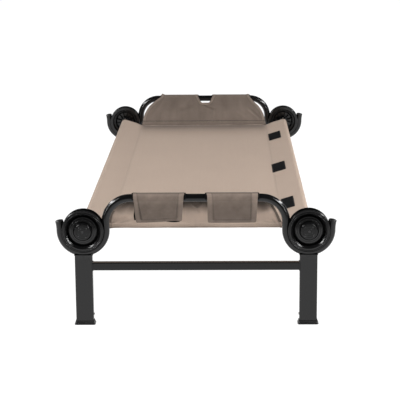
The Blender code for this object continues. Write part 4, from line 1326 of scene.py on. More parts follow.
# ------------------------------------------------- end panels and flaps
BAR = (0.0, BAR_Z)
TOUCH = tangent_from(PANEL_FOOT, BAR, WRAP_R, -1)
while TOUCH > 90:
    TOUCH -= 360
TOUCH_AT = (WRAP_R * math.cos(math.radians(TOUCH)), BAR_Z + WRAP_R * math.sin(math.radians(TOUCH)))
RISE = math.hypot(TOUCH_AT[0] - PANEL_FOOT[0], TOUCH_AT[1] - PANEL_FOOT[1])
PANEL_END = RISE + math.radians(HINGE_DEG - TOUCH) * WRAP_R
BAND = 0.0172  # hem band between the deck's end and the panel's cross seam
ALONG = Vector((TOUCH_AT[0] - PANEL_FOOT[0], TOUCH_AT[1] - PANEL_FOOT[1])) / RISE


def up_panel(z):
    return (z - PANEL_FOOT[1]) / (TOUCH_AT[1] - PANEL_FOOT[1]) * RISE


def panel_place(s):
    """(y inward of the tube's plane, z, outward y, outward z) at these lengths up the panel. Outward is away from the bar, towards the bed."""
    s = np.asarray(s, float)
    flat = s <= RISE
    turn = np.radians(TOUCH) + (s - RISE) / WRAP_R
    y = np.where(flat, PANEL_FOOT[0] + ALONG.x * s, WRAP_R * np.cos(turn))
    z = np.where(flat, PANEL_FOOT[1] + ALONG.y * s, BAR_Z + WRAP_R * np.sin(turn))
    ny = np.where(flat, ALONG.y, np.cos(turn))
    nz = np.where(flat, -ALONG.x, np.sin(turn))
    return y, z, ny, nz


def smooth_table(points, spread=0.007):
    """A smooth curve near these (s, x) points, as a function."""
    s0, s1 = points[0][0] - 0.02, points[-1][0] + 0.02
    grid = np.arange(s0, s1, 0.00025)
    raw = np.interp(grid, [p[0] for p in points], [p[1] for p in points])
    reach = int(spread / 0.00025)
    kernel = np.hanning(2 * reach + 1)
    kernel /= kernel.sum()
    padded = np.pad(raw, reach, mode="edge")
    smooth = np.convolve(padded, kernel, mode="valid")
    return lambda s: np.interp(s, grid, smooth)


# How far the cloth's edge is pulled outwards at heights up each side, from one cot to another a little different.
PULL = {
    ("footend", 1): ((0.0010, 0.0000, -0.0035, -0.0055, -0.0045, -0.0010, 0.0000)),
    ("footend", -1): ((0.0030, 0.0050, 0.0065, 0.0070, 0.0070, 0.0050, 0.0020)),
    ("headend", 1): ((0.0, 0.0, 0.0, 0.0, 0.0, 0.0, 0.0)),
    ("headend", -1): ((0.0, 0.0, 0.0, 0.0, 0.0, 0.0, 0.0)),
}


def side_curve(shift, pull):
    return smooth_table(
        [
            (-0.004, 0.2706 + pull[0]),
            (up_panel(0.2950), 0.2700 + pull[0]),
            (up_panel(0.3060), 0.2675 + pull[1]),
            (up_panel(0.3200), 0.2645 + pull[2]),
            (up_panel(0.3370), 0.2600 + pull[3]),
            (up_panel(0.3560), 0.2500 + pull[4]),
            (up_panel(0.3720), 0.2380 + pull[5]),
            (up_panel(0.3870), 0.2210 + pull[6]),
            (up_panel(0.4005), 0.2060 + shift * 0.3),
            (RISE + 0.003, TAB_OUT + 0.0040 + shift),
            (RISE + 0.010, TAB_OUT + 0.0006 + shift),
            (RISE + 0.014, TAB_OUT + shift),
            (PANEL_END, TAB_OUT - 0.0002 + shift),
        ],
        0.005,
    )


NOTCH_S = up_panel(0.3850)
NOTCH_FLAT = 0.0115
NOTCH = smooth_table(
    [
        (NOTCH_S - 0.001, NOTCH_FLAT),
        (NOTCH_S + 0.0003, 0.0145),
        (NOTCH_S + 0.0012, 0.0166),
        (NOTCH_S + 0.0030, 0.0190),
        (up_panel(0.3925), 0.0222),
        (RISE - 0.003, 0.0286),
        (RISE + 0.006, 0.0325),
        (RISE + 0.013, 0.0345),
        (PANEL_END, 0.0345),
    ],
    0.0012,
)


def creases(x, s, lines):
    """Ridges and hollows along lines: (x1, s1, x2, s2, width, height)."""
    out = np.zeros_like(x)
    for x1, s1, x2, s2, width, height in lines:
        dx, ds = x2 - x1, s2 - s1
        size = math.hypot(dx, ds)
        t = ((x - x1) * dx + (s - s1) * ds) / size**2
        away = ((x - x1) * ds - (s - s1) * dx) / size
        spread = width * (0.7 + 0.6 * np.clip(t, 0, 1))
        out += height * np.exp(-((away / spread) ** 2)) * smoothstep(-0.12, 0.25, t) * (1 - smoothstep(0.75, 1.12, t))
    return out


# Pulls in the cloth, in each panel's own x and length up the panel.
FOLDS = {
    "footend": [
        (-0.014, NOTCH_S - 0.006, 0.010, NOTCH_S - 0.027, 0.0045, -0.0034),
        (0.020, NOTCH_S - 0.005, 0.008, NOTCH_S - 0.026, 0.0040, -0.0026),
        (-0.006, NOTCH_S - 0.003, 0.014, NOTCH_S - 0.004, 0.0030, 0.0028),
        (-0.030, NOTCH_S - 0.002, 0.000, NOTCH_S - 0.036, 0.0060, 0.0018),
        (-0.196, RISE - 0.016, -0.258, 0.030, 0.0080, -0.0022),
        (-0.180, RISE - 0.022, -0.240, 0.022, 0.0090, 0.0018),
        (-0.212, RISE - 0.034, -0.262, 0.020, 0.0050, 0.0016),
        (-0.262, 0.014, -0.196, 0.026, 0.0040, -0.0018),
        (-0.264, 0.022, -0.206, 0.044, 0.0050, 0.0016),
        (0.198, RISE - 0.016, 0.236, 0.052, 0.0080, -0.0026),
        (0.214, RISE - 0.030, 0.250, 0.040, 0.0060, 0.0020),
        (0.262, 0.014, 0.206, 0.022, 0.0040, -0.0018),
        (0.258, 0.028, 0.236, 0.044, 0.0035, 0.0014),
        (0.262, 0.022, 0.228, 0.030, 0.0030, -0.0012),
        (-0.120, 0.030, -0.118, 0.092, 0.0180, -0.0014),
        (0.110, 0.026, 0.122, 0.090, 0.0200, 0.0012),
        (-0.050, 0.024, -0.036, 0.070, 0.0120, 0.0012),
        (0.052, 0.024, 0.040, 0.070, 0.0120, -0.0012),
    ],
    "headend": [
        (0.004, NOTCH_S - 0.012, -0.052, NOTCH_S - 0.036, 0.0050, -0.0022),
        (0.000, NOTCH_S - 0.006, -0.044, NOTCH_S - 0.026, 0.0040, 0.0014),
        (-0.046, NOTCH_S - 0.020, -0.043, 0.020, 0.0035, 0.0012),
        (0.046, NOTCH_S - 0.018, 0.120, NOTCH_S - 0.042, 0.0100, -0.0018),
        (0.060, RISE - 0.006, 0.104, NOTCH_S - 0.030, 0.0120, 0.0016),
        (0.120, RISE - 0.010, 0.150, 0.052, 0.0110, -0.0015),
        (0.172, RISE - 0.014, 0.206, 0.052, 0.0080, 0.0015),
        (0.190, RISE - 0.022, 0.236, 0.036, 0.0070, -0.0015),
        (0.130, 0.072, 0.128, 0.020, 0.0060, 0.0010),
        (0.186, 0.060, 0.194, 0.020, 0.0060, -0.0009),
        (-0.070, RISE - 0.008, -0.104, NOTCH_S - 0.034, 0.0130, -0.0017),
        (-0.150, RISE - 0.012, -0.172, 0.046, 0.0110, 0.0016),
        (-0.198, NOTCH_S - 0.024, -0.258, 0.018, 0.0050, -0.0022),
        (-0.186, NOTCH_S - 0.030, -0.244, 0.020, 0.0050, 0.0018),
        (-0.140, 0.060, -0.190, 0.024, 0.0070, 0.0013),
        (-0.090, 0.062, -0.094, 0.022, 0.0080, 0.0009),
        (0.010, 0.060, 0.014, 0.022, 0.0090, -0.0008),
    ],
}


def panel_tone(end, x, s, z, from_rim):
    """The bed side: lighter, rubbed hems; painted shade with some soiling along the hems' inner edges and the cross
    seam; painted shade on the band, at the base and over the bar; painted shading of the folds; darker towards the top.
    """
    side_hem = (1 - smoothstep(0.0098, 0.0112, from_rim)) * smoothstep(BAND, BAND + 0.006, s)
    out = 1.0 + 0.16 * side_hem
    # Painted shade: lines along the hems' inner edges and the cross seam, the band below the seam, the base, and the
    # cloth turning over the bar.
    out *= 1.0 - 0.42 * bell(from_rim - 0.0108, 0.0010) * smoothstep(BAND, BAND + 0.01, s)
    out *= 1.0 - 0.56 * bell(s - BAND - 0.0004, 0.0024)
    out *= 1.0 - 0.05 * (1 - smoothstep(BAND - 0.0010, BAND + 0.0004, s))
    out *= 1.0 - 0.40 * (1 - smoothstep(-0.002, 0.004, s))
    out *= 1.0 - 0.40 * smoothstep(RISE + math.radians(92 - TOUCH) * WRAP_R, PANEL_END, s)
    points = np.stack([x, s, 0 * s], 1)
    out *= 1.0 + 0.09 * wobble(points, (26.0, 12.0, 1.0), 110.0) + 0.06 * wobble(points, (80.0, 14.0, 1.0), 120.0)
    # Painted shading of the folds.
    out *= 1.0 + np.clip(creases(x, s, FOLDS[end]) * 55.0, -0.16, 0.10)
    # Darker towards the top.
    return (0.76 - 0.13 * smoothstep(0.045, 0.110, s)) * out


def panel_back_tone(end, x, s, z, to_right, to_left):
    """The outer face: painted shadow where it lies behind the bar and the flaps, painted shade along its hems, its base
    and its low seam, and painted shading of its creases.
    """
    shadow = 0.085 + 0.915 * smoothstep(0.386, 0.332, z)
    edge = np.minimum(to_right, to_left)
    out = shadow
    # Painted shade along the turned hems, at the base and at the low seam.
    out = out * (1.0 - 0.35 * bell(edge - 0.0068, 0.0012))
    out = out * (1.0 - 0.12 * (1 - smoothstep(0.000, 0.006, s)))
    out = out * (1.0 - 0.04 * bell(s - 0.0060, 0.0014))
    out = out * np.clip(1.0 + creases(x, s, PAINTED_FOLD_SHADING[end]), 0.35, 1.4)
    points = np.stack([x, s, 0 * s], 1)
    return out * (1.0 + 0.06 * wobble(points, (30.0, 30.0, 1.0), 130.0) + 0.04 * wobble(points, (90.0, 60.0, 1.0), 135.0))


# Painted shade in creases, painted light on ridges and painted shadow smudges beside the bar and flaps, on the outer
# face: (x1, s1, x2, s2, width, change of shade).
PAINTED_FOLD_SHADING = {
    "footend": [
        (-0.0138, 0.0865, 0.0081, 0.0740, 0.0030, -0.45),
        (-0.0100, 0.0915, 0.0115, 0.0915, 0.0026, 0.70),
        (0.0030, 0.0700, 0.0120, 0.0520, 0.0040, -0.16),
        (-0.0400, 0.0940, -0.0380, 0.0730, 0.0035, -0.30),
        (0.0360, 0.0940, 0.0350, 0.0730, 0.0035, -0.30),
        (-0.2650, 0.0100, -0.2380, 0.0200, 0.0026, 0.14),
        (-0.2400, 0.0160, -0.2060, 0.0260, 0.0028, -0.22),
        (-0.2200, 0.0880, -0.2460, 0.0600, 0.0130, -0.26),
        (-0.2480, 0.0300, -0.2050, 0.0420, 0.0050, 0.08),
        (0.2000, 0.0930, 0.2160, 0.0600, 0.0150, -0.38),
        (0.2240, 0.0800, 0.2360, 0.0500, 0.0060, 0.22),
        (0.2400, 0.0380, 0.2540, 0.0150, 0.0020, 0.16),
        (0.2350, 0.0300, 0.2490, 0.0100, 0.0020, -0.20),
        (0.2120, 0.0200, 0.2520, 0.0140, 0.0022, -0.16),
        (0.2150, 0.0260, 0.2450, 0.0210, 0.0022, 0.09),
    ],
    "headend": [
        (-0.0300, 0.0860, 0.0100, 0.0740, 0.0035, -0.30),
        (0.1980, 0.0900, 0.2250, 0.0600, 0.0090, -0.20),
        (-0.2040, 0.0900, -0.2300, 0.0600, 0.0090, -0.20),
        (0.2300, 0.0300, 0.2540, 0.0120, 0.0026, -0.18),
        (-0.2600, 0.0120, -0.2300, 0.0220, 0.0026, 0.12),
    ],
}


def edge_run(width):
    """Distances from an edge: close together at the hem's stitch line."""
    near = np.array([0.0, 0.0008, 0.0035, 0.0070, 0.0092, 0.0100, 0.0105, 0.0110, 0.0118, 0.0135])
    count = max(3, int((width - 2 * near[-1]) / 0.0033))
    return near, count


def to_world(end, x, y, z):
    if end == "footend":
        return np.stack([x, -END_Y + y, z], -1)
    return np.stack([-x, END_Y - y, z], -1)


def panel_piece(end):
    shift = TAB_SHIFT[end]
    right, left = side_curve(shift, PULL[end, 1]), side_curve(-shift, PULL[end, -1])
    base = np.array([-0.0024, -0.0018, 0.0, 0.004, 0.008, 0.012, 0.0145])
    seam = BAND + np.array([-0.0012, -0.0007, -0.0003, 0.0, 0.0003, 0.0007, 0.0013, 0.0024])
    mid = np.linspace(BAND + 0.0045, NOTCH_S - 0.0150, 26)
    rim = NOTCH_S - np.array([0.0135, 0.0118, 0.0110, 0.0105, 0.0100, 0.0092, 0.0070, 0.0035, 0.0008, 0.0])
    lower = np.concatenate([base, seam, mid, rim])
    upper = NOTCH_S + np.array([0.0003, 0.0008, 0.0015, 0.0024, 0.0036, 0.0050])
    upper = np.concatenate([upper, np.linspace(NOTCH_S + 0.0066, PANEL_END - 0.0012, 28), [PANEL_END - 0.0004, PANEL_END]])
    near, count = edge_run(0.26)
    blocks = []
    # Left and right of the notch, all the way up.
    rows = np.concatenate([lower, upper])
    for sign in (-1, 1):
        edge = (right if sign > 0 else left)(rows)
        slant = np.sqrt(1 + (np.gradient(edge, rows)) ** 2)
        slant = np.minimum(slant, 1.9)
        inner = np.where(rows < NOTCH_S - 1e-9, NOTCH_FLAT, NOTCH(rows)) + sign * shift
        steep = np.where(rows < NOTCH_S, 1.0, np.minimum(np.sqrt(1 + (np.gradient(inner, rows)) ** 2), 1.5))
        cols = []
        for d in near:
            cols.append(edge - d * slant)
        a, b = edge - near[-1] * slant, inner + near[-1] * steep
        for t in np.linspace(0, 1, count)[1:-1]:
            cols.append(a + (b - a) * t)
        for d in near[::-1]:
            cols.append(inner + d * steep)
        x = np.stack(cols, 1) * sign
        s = np.broadcast_to(rows[:, None], x.shape)
        blocks.append((x, s.copy()))
    # Below the notch.
    t = np.linspace(-1, 1, 11)
    x = np.broadcast_to(t * NOTCH_FLAT + shift, (len(lower), 11)).copy()
    s = np.broadcast_to(lower[:, None], x.shape).copy()
    blocks.append((x, s))
    xs, ss, faces, start = [], [], [], 0
    for b, (x, s) in enumerate(blocks):
        f = grid_faces(*x.shape)
        if b == 0:
            f = f[:, ::-1]
        if b == 2:
            f = f[:, ::-1]
        faces.append(f + start)
        xs.append(x.ravel())
        ss.append(s.ravel())
        start += x.size
    x, s, faces = np.concatenate(xs), np.concatenate(ss), np.concatenate(faces)
    # Points that two blocks share become one.
    keys, index, inverse = np.unique(np.round(np.stack([x, s], 1), 7), axis=0, return_index=True, return_inverse=True)
    x, s, faces = x[index], s[index], inverse.reshape(-1)[faces]
    # All faces wind the same way in x and s.
    ax_, as_ = x[faces], s[faces]
    area = ((ax_[:, 0] - ax_[:, 2]) * (as_[:, 1] - as_[:, 3]) - (ax_[:, 1] - ax_[:, 3]) * (as_[:, 0] - as_[:, 2]))
    faces = np.where((area < 0)[:, None], faces[:, ::-1], faces)

    rim_x, rim_s = [], []
    dense = np.linspace(-0.0024, PANEL_END, 500)
    for sign, curve in ((1, right), (-1, left)):
        rim_x.append(sign * curve(dense))
        rim_s.append(dense)
        up = dense[dense >= NOTCH_S]
        rim_x.append(sign * NOTCH(up) + shift)
        rim_s.append(up)
    rim_x.append(np.linspace(-NOTCH_FLAT, NOTCH_FLAT, 30) + shift)
    rim_s.append(np.full(30, NOTCH_S))
    rim_points = np.stack([np.concatenate(rim_x), np.concatenate(rim_s)], 1)
    from_rim = np.empty(len(x))
    for first in range(0, len(x), 2000):
        part = np.stack([x[first : first + 2000], s[first : first + 2000]], 1)
        from_rim[first : first + 2000] = np.sqrt(((part[:, None] - rim_points[None]) ** 2).sum(2).min(1))

    y, z, ny, nz = panel_place(s)
    free = smoothstep(0.0, 0.022, s - BAND) * smoothstep(0.0, 0.020, RISE - s)
    move = creases(x, s, FOLDS[end]) * smoothstep(0.000, 0.012, s) * (1 - smoothstep(RISE - 0.006, RISE + 0.006, s))
    points = np.stack([x, s, 0 * s], 1)
    move += free * (0.0013 * wobble(points, (9.0, 7.0, 1.0), 50.0 + len(end)) + 0.0006 * wobble(points, (32.0, 20.0, 1.0), 60.0))
    move += 0.00035 * wobble(points, (70.0, 55.0, 1.0), 70.0) * smoothstep(0.0, 0.01, s) * (1 - smoothstep(RISE, RISE + 0.01, s))
    # The cloth bellies a little between the seam and the bar, and the hem band bows.
    belly = np.sin(np.clip((s - BAND) / (RISE - BAND), 0, 1) * math.pi)
    move += 0.0022 * belly * (1 - (x / 0.30) ** 2)
    move += 0.0008 * np.sin(np.clip(s / BAND, 0, 1) * math.pi)
    # The tabs' outer corners stand off the bar.
    peaks = {"footend": ((0.190, 0.0006), (-0.190, 0.0006)), "headend": ((0.190 - 0.006, 0.0044), (-0.190 - 0.006, 0.0016))}[end]
    for at, height in peaks:
        move += height * bell(x - at, 0.0075) * bell(s - (RISE + math.radians(90 - TOUCH) * WRAP_R), 0.010)
    # Over the bar the cloth lies on its tape.
    move += 0.0021 * smoothstep(RISE + math.radians(52 - TOUCH) * WRAP_R, RISE + math.radians(84 - TOUCH) * WRAP_R, s)
    y, z = y + ny * move, z + nz * move
    verts = to_world(end, x, y, z)
    normal = normals_of(verts, faces)
    bedward = 1.0 if end == "footend" else -1.0
    probe = int(np.argmin(np.abs(x) + np.abs(s - 0.05)))
    if normal[probe][1] * bedward < 0:
        faces = faces[:, ::-1]
    over = np.full(len(x), 0.00045)
    hem = 1 - smoothstep(0.0104, 0.0116, from_rim)
    over += 0.00040 * hem - 0.00028 * bell(from_rim - 0.0105, 0.0008)
    under = 0.00045 + 0.00025 * hem - 0.00020 * bell(from_rim - 0.0105, 0.0008)
    band = 1 - smoothstep(BAND - 0.0004, BAND + 0.0006, s)
    groove = bell(s - BAND, 0.0009)
    over += 0.00030 * band - 0.00045 * groove
    low_band = 1 - smoothstep(0.0056, 0.0064, s)
    under += 0.00018 * low_band - 0.00012 * bell(s - 0.0060, 0.0008)
    # The taut wrap keeps clear of the bar.
    on_bar = smoothstep(RISE - 0.004, RISE + 0.002, s)
    under = under * (1 - on_bar) + 0.00055 * on_bar
    uv = np.stack([x, s], 1)
    centre_s = s[faces].mean(1)
    centre_rim = from_rim[faces].mean(1)
    index = np.where((centre_rim < 0.0105) & (centre_s > BAND), 2, 0)
    # The hem is turned over on to the outer face.
    centre_side = np.minimum(right(centre_s) - x[faces].mean(1), left(centre_s) + x[faces].mean(1))
    under_index = np.where((centre_side < 0.0060) & (centre_s > BAND) & (centre_s < RISE + 0.004), 2, 1)
    piece = cloth_piece(
        f"{end}_panel_cloth", verts, faces, uv, over, under, [PANEL_FACE, PANEL_BACK, HEM], index=index, under_index=under_index,
        tone=panel_tone(end, x, s, z, from_rim), under_tone=panel_back_tone(end, x, s, z, right(s) - x, left(s) + x),
    )

    normal = normals_of(verts, faces)

    def line_on(points_xs, inner=False):
        """Points and normals on the panel's face, by the nearest mesh point."""
        out_p, out_n = [], []
        for px, ps in points_xs:
            k = int(np.argmin((x - px) ** 2 + (s - ps) ** 2))
            shift_n = (over[k] if not inner else -under[k]) * normal[k]
            base_y, base_z, by, bz = panel_place(ps)
            exact = to_world(end, np.array(px), base_y + by * move[k], base_z + bz * move[k])
            out_p.append(exact + shift_n)
            out_n.append(normal[k] * (-1 if inner else 1))
        return np.array(out_p), np.array(out_n)

    def inset(curve, sign, s_from, s_to, d, shift=0.0):
        ss = np.linspace(s_from, s_to, 90)
        e = curve(ss)
        g = np.gradient(e, ss)
        n = np.sqrt(1 + g * g)
        # d in from the edge, square to it.
        return [(sign * (ei - d / ni * 1.0) + shift, si + d * gi / ni) for ei, gi, ni, si in zip(e, g, n, ss)]

    rows_out, rows_in = [], []
    for sign, curve in ((1, right), (-1, left)):
        run = inset(curve, sign, 0.001, PANEL_END - 0.004, 0.0090)
        rows_out.append(line_on(run))
        rows_in.append(line_on(run, inner=True))
        run = inset(curve, sign, 0.001, PANEL_END - 0.004, 0.0030)
        rows_out.append(line_on(run))
    wide = 0.258
    for at in (BAND - 0.0030, BAND + 0.0022):
        run = [(v, at) for v in np.linspace(-wide, wide, 190)]
        rows_out.append(line_on(run))
    run = [(v, 0.0072) for v in np.linspace(-wide, wide, 190)]
    rows_in.append(line_on(run, inner=True))
    around = []
    for sign in (-1, 1):
        up = np.linspace(PANEL_END - 0.004, NOTCH_S + 0.004, 24)
        arm = [(sign * (NOTCH(v) + 0.0085) + shift, v) for v in up]
        around.append(arm if sign < 0 else arm[::-1])
    middle = [(v * NOTCH_FLAT * 1.7 + shift, NOTCH_S - 0.0085 + 0.0045 * abs(v) ** 3) for v in np.linspace(-1, 1, 20)]
    rows_out.append(line_on(around[0] + middle + around[1]))
    trim = []
    for name, rows, thread in (("stitching", rows_out, THREAD), ("back_stitching", rows_in, THREAD)):
        made = stitches(f"{end}_panel_{name}", rows, thread, lift=0.00012)
        trim.append(carries(made, "deck", "panel_cloth"))
    return piece, trim


def base_roll(end):
    """The folded seam where the panel meets the deck's end."""
    line, fat = [], []
    for x in np.linspace(-0.2665, 0.2665, 150):
        drop = 0.0006 * noise.noise(Vector((x * 16, 3.0, 0.0)))
        line.append(to_world(end, np.array(x), np.array(PANEL_FOOT[0] + 0.0003), np.array(PANEL_FOOT[1] - 0.0020 + drop)))
        fat.append(1.0 + 0.10 * noise.noise(Vector((x * 60, 0.0, 9.0))))
    roll = tube(f"{end}_base_seam", np.array(line), 0.0017, 10, PANEL_BACK, ripple=np.array(fat), across=(0, 1, 0))
    layer = roll.data.uv_layers.new(name="Cloth")
    for loop in roll.data.loops:
        co = roll.data.vertices[loop.vertex_index].co
        layer.data[loop.index].uv = (co.x, math.atan2(co.z - 0.2914, co.y) * 0.002 + co.z)
    # Darker, as painted shade in the crease where the panel meets the deck.
    set_tone(roll.data, np.full(len(roll.data.vertices), 0.66))
    return carries(roll, "deck", "panel_cloth")


def flap_place(s):
    start = math.radians(HINGE_DEG) + 0.0002 / WRAP_R
    curve = (math.pi - start) * WRAP_R
    s = np.asarray(s, float)
    turn = start + s / WRAP_R
    bent = s <= curve
    y = np.where(bent, WRAP_R * np.cos(turn), -WRAP_R)
    z = np.where(bent, BAR_Z + WRAP_R * np.sin(turn), BAR_Z - (s - curve))
    ny = np.where(bent, np.cos(turn), -1.0)
    nz = np.where(bent, np.sin(turn), 0.0)
    return y, z, ny, nz, curve


def flap_piece(end, side, sign):
    """sign is the flap's side in the panel's own x."""
    shift = TAB_SHIFT[end]
    curve = flap_place(0.0)[4]
    end_s = curve + BAR_Z - FLAP_END_Z
    near, far = TAB_IN + sign * shift, TAB_OUT + sign * shift
    shapes = {("footend", -1): (0.0088, 0.0060, 0.0020), ("footend", 1): (0.0052, 0.0014, 0.0022)}
    taper_far, taper_near, step_in = shapes.get((end, sign), (0.0070, 0.0040, 0.0018))
    seam_s = math.radians(150 - HINGE_DEG) * WRAP_R
    rows = np.concatenate(
        [
            [0.0, 0.0006, 0.0022, 0.0042, 0.0062],
            seam_s + np.array([-0.0016, -0.0009, -0.0004, 0.0, 0.0004, 0.0009, 0.0017]),
            np.linspace(seam_s + 0.0034, curve + 0.004, 7),
            curve + 0.004 + np.array([0.0012, 0.0018, 0.0024, 0.0040]),
            np.linspace(curve + 0.0105, end_s - 0.0150, 19),
            end_s - np.array([0.0125, 0.0108, 0.0096, 0.0090, 0.0085, 0.0080, 0.0074, 0.0060, 0.0042, 0.0030, 0.0020, 0.0012, 0.0006, 0.0002, 0.0]),
        ]
    )
    # The hems' widths at the top and at the bottom, outer side and inner side, and how faded they are.
    hems = {
        ("footend", -1): ((0.0108, 0.0162), (0.0150, 0.0150), 0.10, 0.12),
        ("footend", 1): ((0.0190, 0.0148), (0.0148, 0.0165), 0.16, 0.07),
    }.get((end, sign), ((0.0136, 0.0136), (0.0136, 0.0136), 0.11, 0.11))
    wide_out, wide_in = ((w[0] + (w[1] - w[0]) * rows / end_s) / 0.0136 for w in hems[:2])
    wide = np.array([0.0, 0.0008, 0.0030, 0.0062, 0.0092, 0.0118, 0.0130, 0.0136, 0.0142, 0.0152, 0.0162, 0.0168, 0.0174, 0.0190])
    t = np.linspace(0, 1, 40)[1:-1]
    low = end_s - rows
    radius = 0.0040
    inset = np.where(low < radius, radius - np.sqrt(np.maximum(radius**2 - (radius - low) ** 2, 0.0)), 0.0)
    edge_out = far - taper_far * (rows / end_s) ** 1.2 - inset
    edge_in = near + step_in * smoothstep(0.0, 0.010, rows) + taper_near * (rows / end_s) ** 1.2 + inset
    cols = [edge_in + d * wide_in for d in wide]
    a, b = edge_in + wide[-1] * wide_in, edge_out - wide[-1] * wide_out
    cols += [a + (b - a) * v for v in t]
    cols += [edge_out - d * wide_out for d in wide[::-1]]
    x = np.stack(cols, 1)
    s = np.broadcast_to(rows[:, None], x.shape).copy()
    d_in, d_out = (x - edge_in[:, None]) / wide_in[:, None], (edge_out[:, None] - x) / wide_out[:, None]
    from_side = np.minimum(d_in, d_out) + inset[:, None]
    from_low = (low[:, None] + 0 * x)
    # The hem leans a little across the left flap.
    shape = x.shape
    x, s, from_side, from_low = (sign * x).ravel(), s.ravel(), from_side.ravel(), from_low.ravel()
    # The lower edge isn't quite straight, and the left flap's is drawn up over its lining.
    hang = smoothstep(curve, end_s, s)
    seed = {"footend": 0.0, "headend": 30.0}[end] + 7.0 * sign
    points = np.stack([x, s, 0 * s], 1)
    longer, lean = (0.0006, 0.0020) if sign < 0 else (0.0030, 0.0004)
    drawn = 0.0026 if (end, sign) == ("footend", -1) else 0.0
    s_real = s + hang * (0.0011 * wobble(np.stack([x, 0 * x, 0 * x], 1), (16.0, 1, 1), seed) + longer - lean * (x - sign * 0.11) / 0.07 - drawn * bell(sign * x - 0.070, 0.030))
    y, z, ny, nz, _ = flap_place(s_real)
    loose = smoothstep(0.0, 0.020, s - seam_s)
    move = loose * (0.0011 * wobble(points, (17.0, 12.0, 1.0), seed + 80.0) + 0.0007 * wobble(points, (42.0, 30.0, 1.0), seed + 90.0) + 0.00035 * wobble(points, (95.0, 80.0, 1.0), seed + 95.0))
    move += 0.0022 * hang * np.sin(np.clip((s - curve) / (end_s - curve), 0, 1) * math.pi * 0.9)
    move += 0.0016 * smoothstep(end_s - 0.03, end_s, s) * (0.5 + 0.5 * wobble(np.stack([x, 0 * x, 0 * x], 1), (22.0, 1, 1), seed + 3.0))
    move += creases(
        x,
        s,
        [
            (sign * 0.176, seam_s + 0.006, sign * 0.160, end_s - 0.006, 0.0035, -0.0016 if sign < 0 else -0.0008),
            (sign * 0.150, seam_s + 0.010, sign * 0.120, end_s - 0.030, 0.0100, 0.0010),
            (sign * 0.090, seam_s + 0.012, sign * 0.066, end_s - 0.020, 0.0090, -0.0010),
            (sign * 0.130, end_s - 0.030, sign * 0.080, end_s - 0.018, 0.0080, 0.0009),
            (sign * 0.050, end_s - 0.046, sign * 0.062, end_s - 0.012, 0.0050, 0.0008),
        ],
    ) * loose
    move = np.maximum(move, -0.0004)
    move += 0.0021 * (1 - smoothstep(math.radians(140 - HINGE_DEG) * WRAP_R, math.radians(182 - HINGE_DEG) * WRAP_R, s))
    y, z = y + ny * move, z + nz * move
    verts = to_world(end, x, y, z)
    faces = grid_faces(*shape)
    normal = normals_of(verts, faces)
    outward = -1.0 if end == "footend" else 1.0
    probe = (len(rows) - 6) * shape[1] + shape[1] // 2
    if normal[probe][1] * outward < 0:
        faces = faces[:, ::-1]
    hem = 1 - smoothstep(0.0128, 0.0140, from_side)
    low_hem = 1 - smoothstep(0.0080, 0.0088, from_low)
    tape_top = curve + 0.0056
    tape = smoothstep(0.0160, 0.0170, from_side) * smoothstep(tape_top - 0.0006, tape_top + 0.0006, s) * smoothstep(0.0092, 0.0102, from_low)
    over = 0.00060 + 0.00045 * np.maximum(hem, low_hem) + 0.00040 * tape
    over -= 0.00035 * bell(from_side - 0.0136, 0.0008) * (1 - low_hem)
    under = np.full(len(x), 0.00055)
    uv = np.stack([x, s + 0.3], 1)
    index = np.where(from_side[faces].mean(1) < 0.0132, 1, 0)
    name = f"{end}_flap_cloth_{side}"
    side_hem = 1 - smoothstep(0.0124, 0.0136, from_side)
    faded = np.where(d_out.ravel() < d_in.ravel(), hems[2], hems[3])
    tone = 1.0 + faded * side_hem + 0.05 * low_hem * (1 - side_hem)
    # Painted shade at the hinge, where the flap turns from the panel.
    tone *= 1.0 - 0.26 * (1 - smoothstep(0.0006, 0.0036, s))
    # Painted light where the flap wraps over the top of the bar.
    tone *= 1.0 + 0.42 * (1 - smoothstep(curve - 0.006, curve + 0.030, s))
    tone *= 0.745 + 0.06 * smoothstep(0.020, 0.0, from_low)
    # Painted shadow lines along the hems' inner edges, wider and darker lower down.
    deep = 0.62 if sign * (1 if end == "footend" else -1) < 0 else 0.38
    far_side, near_side = d_out.ravel(), d_in.ravel()
    down = smoothstep(tape_top - 0.010, end_s, s)
    for gap, strength in ((far_side, deep if sign < 0 else 0.35), (near_side, 0.30 if sign < 0 else deep)):
        tone *= 1.0 - strength * bell(gap - 0.0140, 0.0015 + 0.0014 * down) * (0.65 + 0.35 * down) * (1 - low_hem)
    # Painted shade along the tape's top.
    tone *= 1.0 - 0.10 * bell(s - tape_top, 0.0011)
    # Painted shadow along the lower hem's edge.
    tone *= 1.0 - 0.42 * bell(from_low - 0.0084, 0.0012) * (1 - side_hem)
    tone *= 1.0 + 0.17 * wobble(points, (40.0, 34.0, 1.0), seed + 140.0) + 0.11 * wobble(points, (90.0, 120.0, 1.0), seed + 150.0)
    piece = cloth_piece(
        name, verts, faces, uv, over, under, [PANEL_FACE, PANEL_BACK, HEM], index=index * 2, tone=tone, under_tone=0.8
    )
    normal = normals_of(verts, faces).reshape(*shape, 3)
    surface = (verts + normals_of(verts, faces) * over[:, None]).reshape(*shape, 3)
    first, last = 0, shape[0] - 6
    rows_out = []
    for col in (7, 2, -8, -3):
        rows_out.append((surface[2:last, col], normal[2:last, col]))
    low_row = shape[0] - 11
    rows_out.append((surface[low_row, 3:-3], normal[low_row, 3:-3]))
